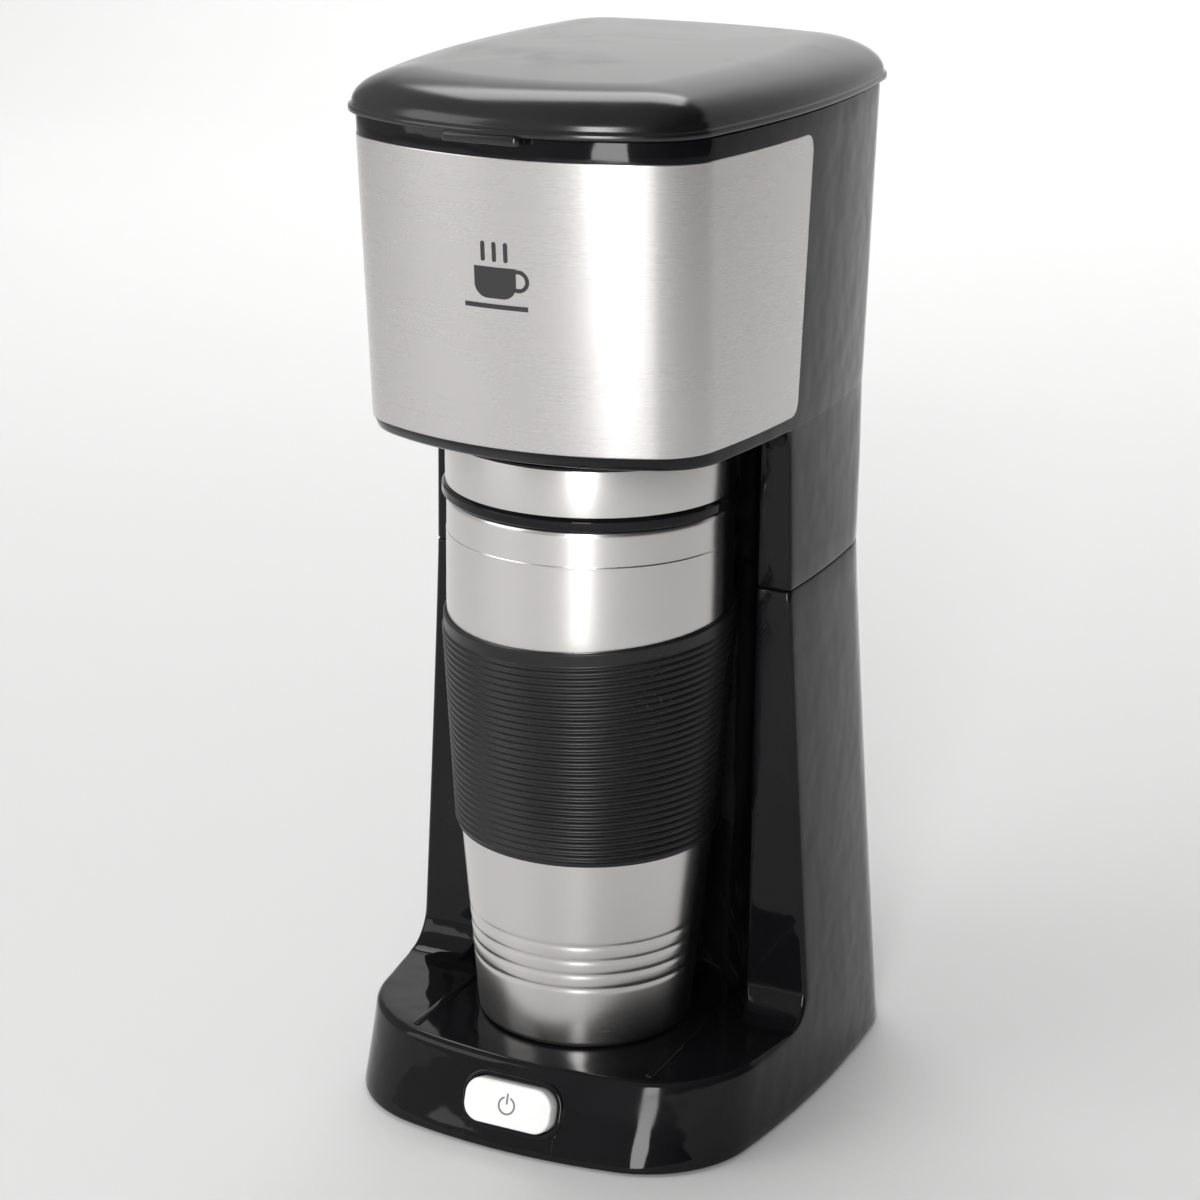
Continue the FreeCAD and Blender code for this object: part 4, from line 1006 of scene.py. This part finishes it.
class CoffeeCaseSettings(bpy.types.PropertyGroup):
    wall: setting("Wall", "Wall thickness of housings and lid, in millimetres", 2.2, 1.0, 4.0)
    rim_radius: setting("Rim radius", "Radius between platform and apron, in millimetres", 1.8, 0.5, 4.0)


class CoffeeLidSettings(bpy.types.PropertyGroup):
    shoulder: setting("Shoulder", "Fullness of the lid's shoulder, 2 is round", 1.9, 1.2, 4.0)
    width: setting("Shoulder width", "Width of the rounded shoulder, in millimetres", 20.0, 8.0, 40.0)
    crown: setting("Crown", "Height of the flat crown's bulge, in millimetres", 0.5, 0.0, 3.0)


class CoffeeMugSettings(bpy.types.PropertyGroup):
    rib_pitch: setting("Rib pitch", "Distance between ribs of the sleeve, in millimetres", 2.05, 1.0, 6.0)
    rib_height: setting("Rib height", "Height of the ribs, in millimetres", 0.55, 0.1, 1.0)
    ring_depth: setting("Ring depth", "Depth of the rings near the foot, in millimetres", 0.22, 0.0, 1.0)
    ring_width: setting("Ring width", "Half width of a ring, in millimetres", 0.85, 0.3, 4.0)
    pad_angle: setting("Pad angle", "Where the smooth grip pad sits, in degrees", 15.0, -180.0, 180.0)


class CoffeeStageSettings(bpy.types.PropertyGroup):
    key: power_setting("Key light", "Power of the large soft light", 7.0)
    strip: power_setting("Strip light", "Power of the tall narrow light in front", 17.0)
    top: power_setting("Top light", "Power of the light above", 10.0)
    backdrop: power_setting("Backdrop light", "Power of the light on the backdrop", 11.0)
    world: bpy.props.FloatVectorProperty(
        name="Surroundings", description="Colour of the surroundings", default=(1.0, 0.99, 0.98),
        subtype="COLOR")
    world_dark: setting("Darkest surroundings", "Brightness at the back right", 0.03, 0.0, 10.0)
    world_bright: setting("Brightest surroundings", "Brightness at the front left", 0.55, 0.0, 10.0)
    camera_place: bpy.props.FloatVectorProperty(
        name="Camera place", description="Where the camera stands",
        default=(0.33395, -0.72061, 0.40136), subtype="TRANSLATION", unit="LENGTH")
    camera_turn: bpy.props.FloatVectorProperty(
        name="Camera turn", description="Yaw, downward pitch and roll, in degrees",
        default=(25.23, 18.17, 0.73))
    lens: setting("Lens", "Focal length, in millimetres", 89.41, 10.0, 1000.0)


class COFFEE_PT_panel(bpy.types.Panel):
    """Lists the sizes and the pieces"""
    bl_idname = "COFFEE_PT_panel"
    bl_label = "Coffee maker"
    bl_space_type = "VIEW_3D"
    bl_region_type = "UI"
    bl_category = "Coffee maker"

    def draw(self, context):
        for name, group in SETTINGS.items():
            for key in group.__annotations__:
                self.layout.prop(getattr(context.scene, name), key)
        for operator in OPERATORS:
            self.layout.operator(operator.bl_idname)


SETTINGS = {"coffee_case": CoffeeCaseSettings, "coffee_lid": CoffeeLidSettings,
            "coffee_mug": CoffeeMugSettings, "coffee_stage": CoffeeStageSettings}
OPERATORS = (COFFEE_OT_finishes, COFFEE_OT_lower_case, COFFEE_OT_upper_case, COFFEE_OT_steel_panel,
             COFFEE_OT_lid, COFFEE_OT_button, COFFEE_OT_tumbler, COFFEE_OT_stage)
CLASSES = (*SETTINGS.values(), *OPERATORS, COFFEE_PT_panel)


def register():
    for group in CLASSES:
        bpy.utils.register_class(group)
    for name, group in SETTINGS.items():
        setattr(bpy.types.Scene, name, bpy.props.PointerProperty(type=group))


def unregister():
    for name in SETTINGS:
        delattr(bpy.types.Scene, name)
    for group in reversed(CLASSES):
        bpy.utils.unregister_class(group)


def main():
    """Builds everything."""
    register()
    for operator in OPERATORS:
        space, action = operator.bl_idname.split(".")
        getattr(getattr(bpy.ops, space), action)()


if __name__ == "__main__":
    main()
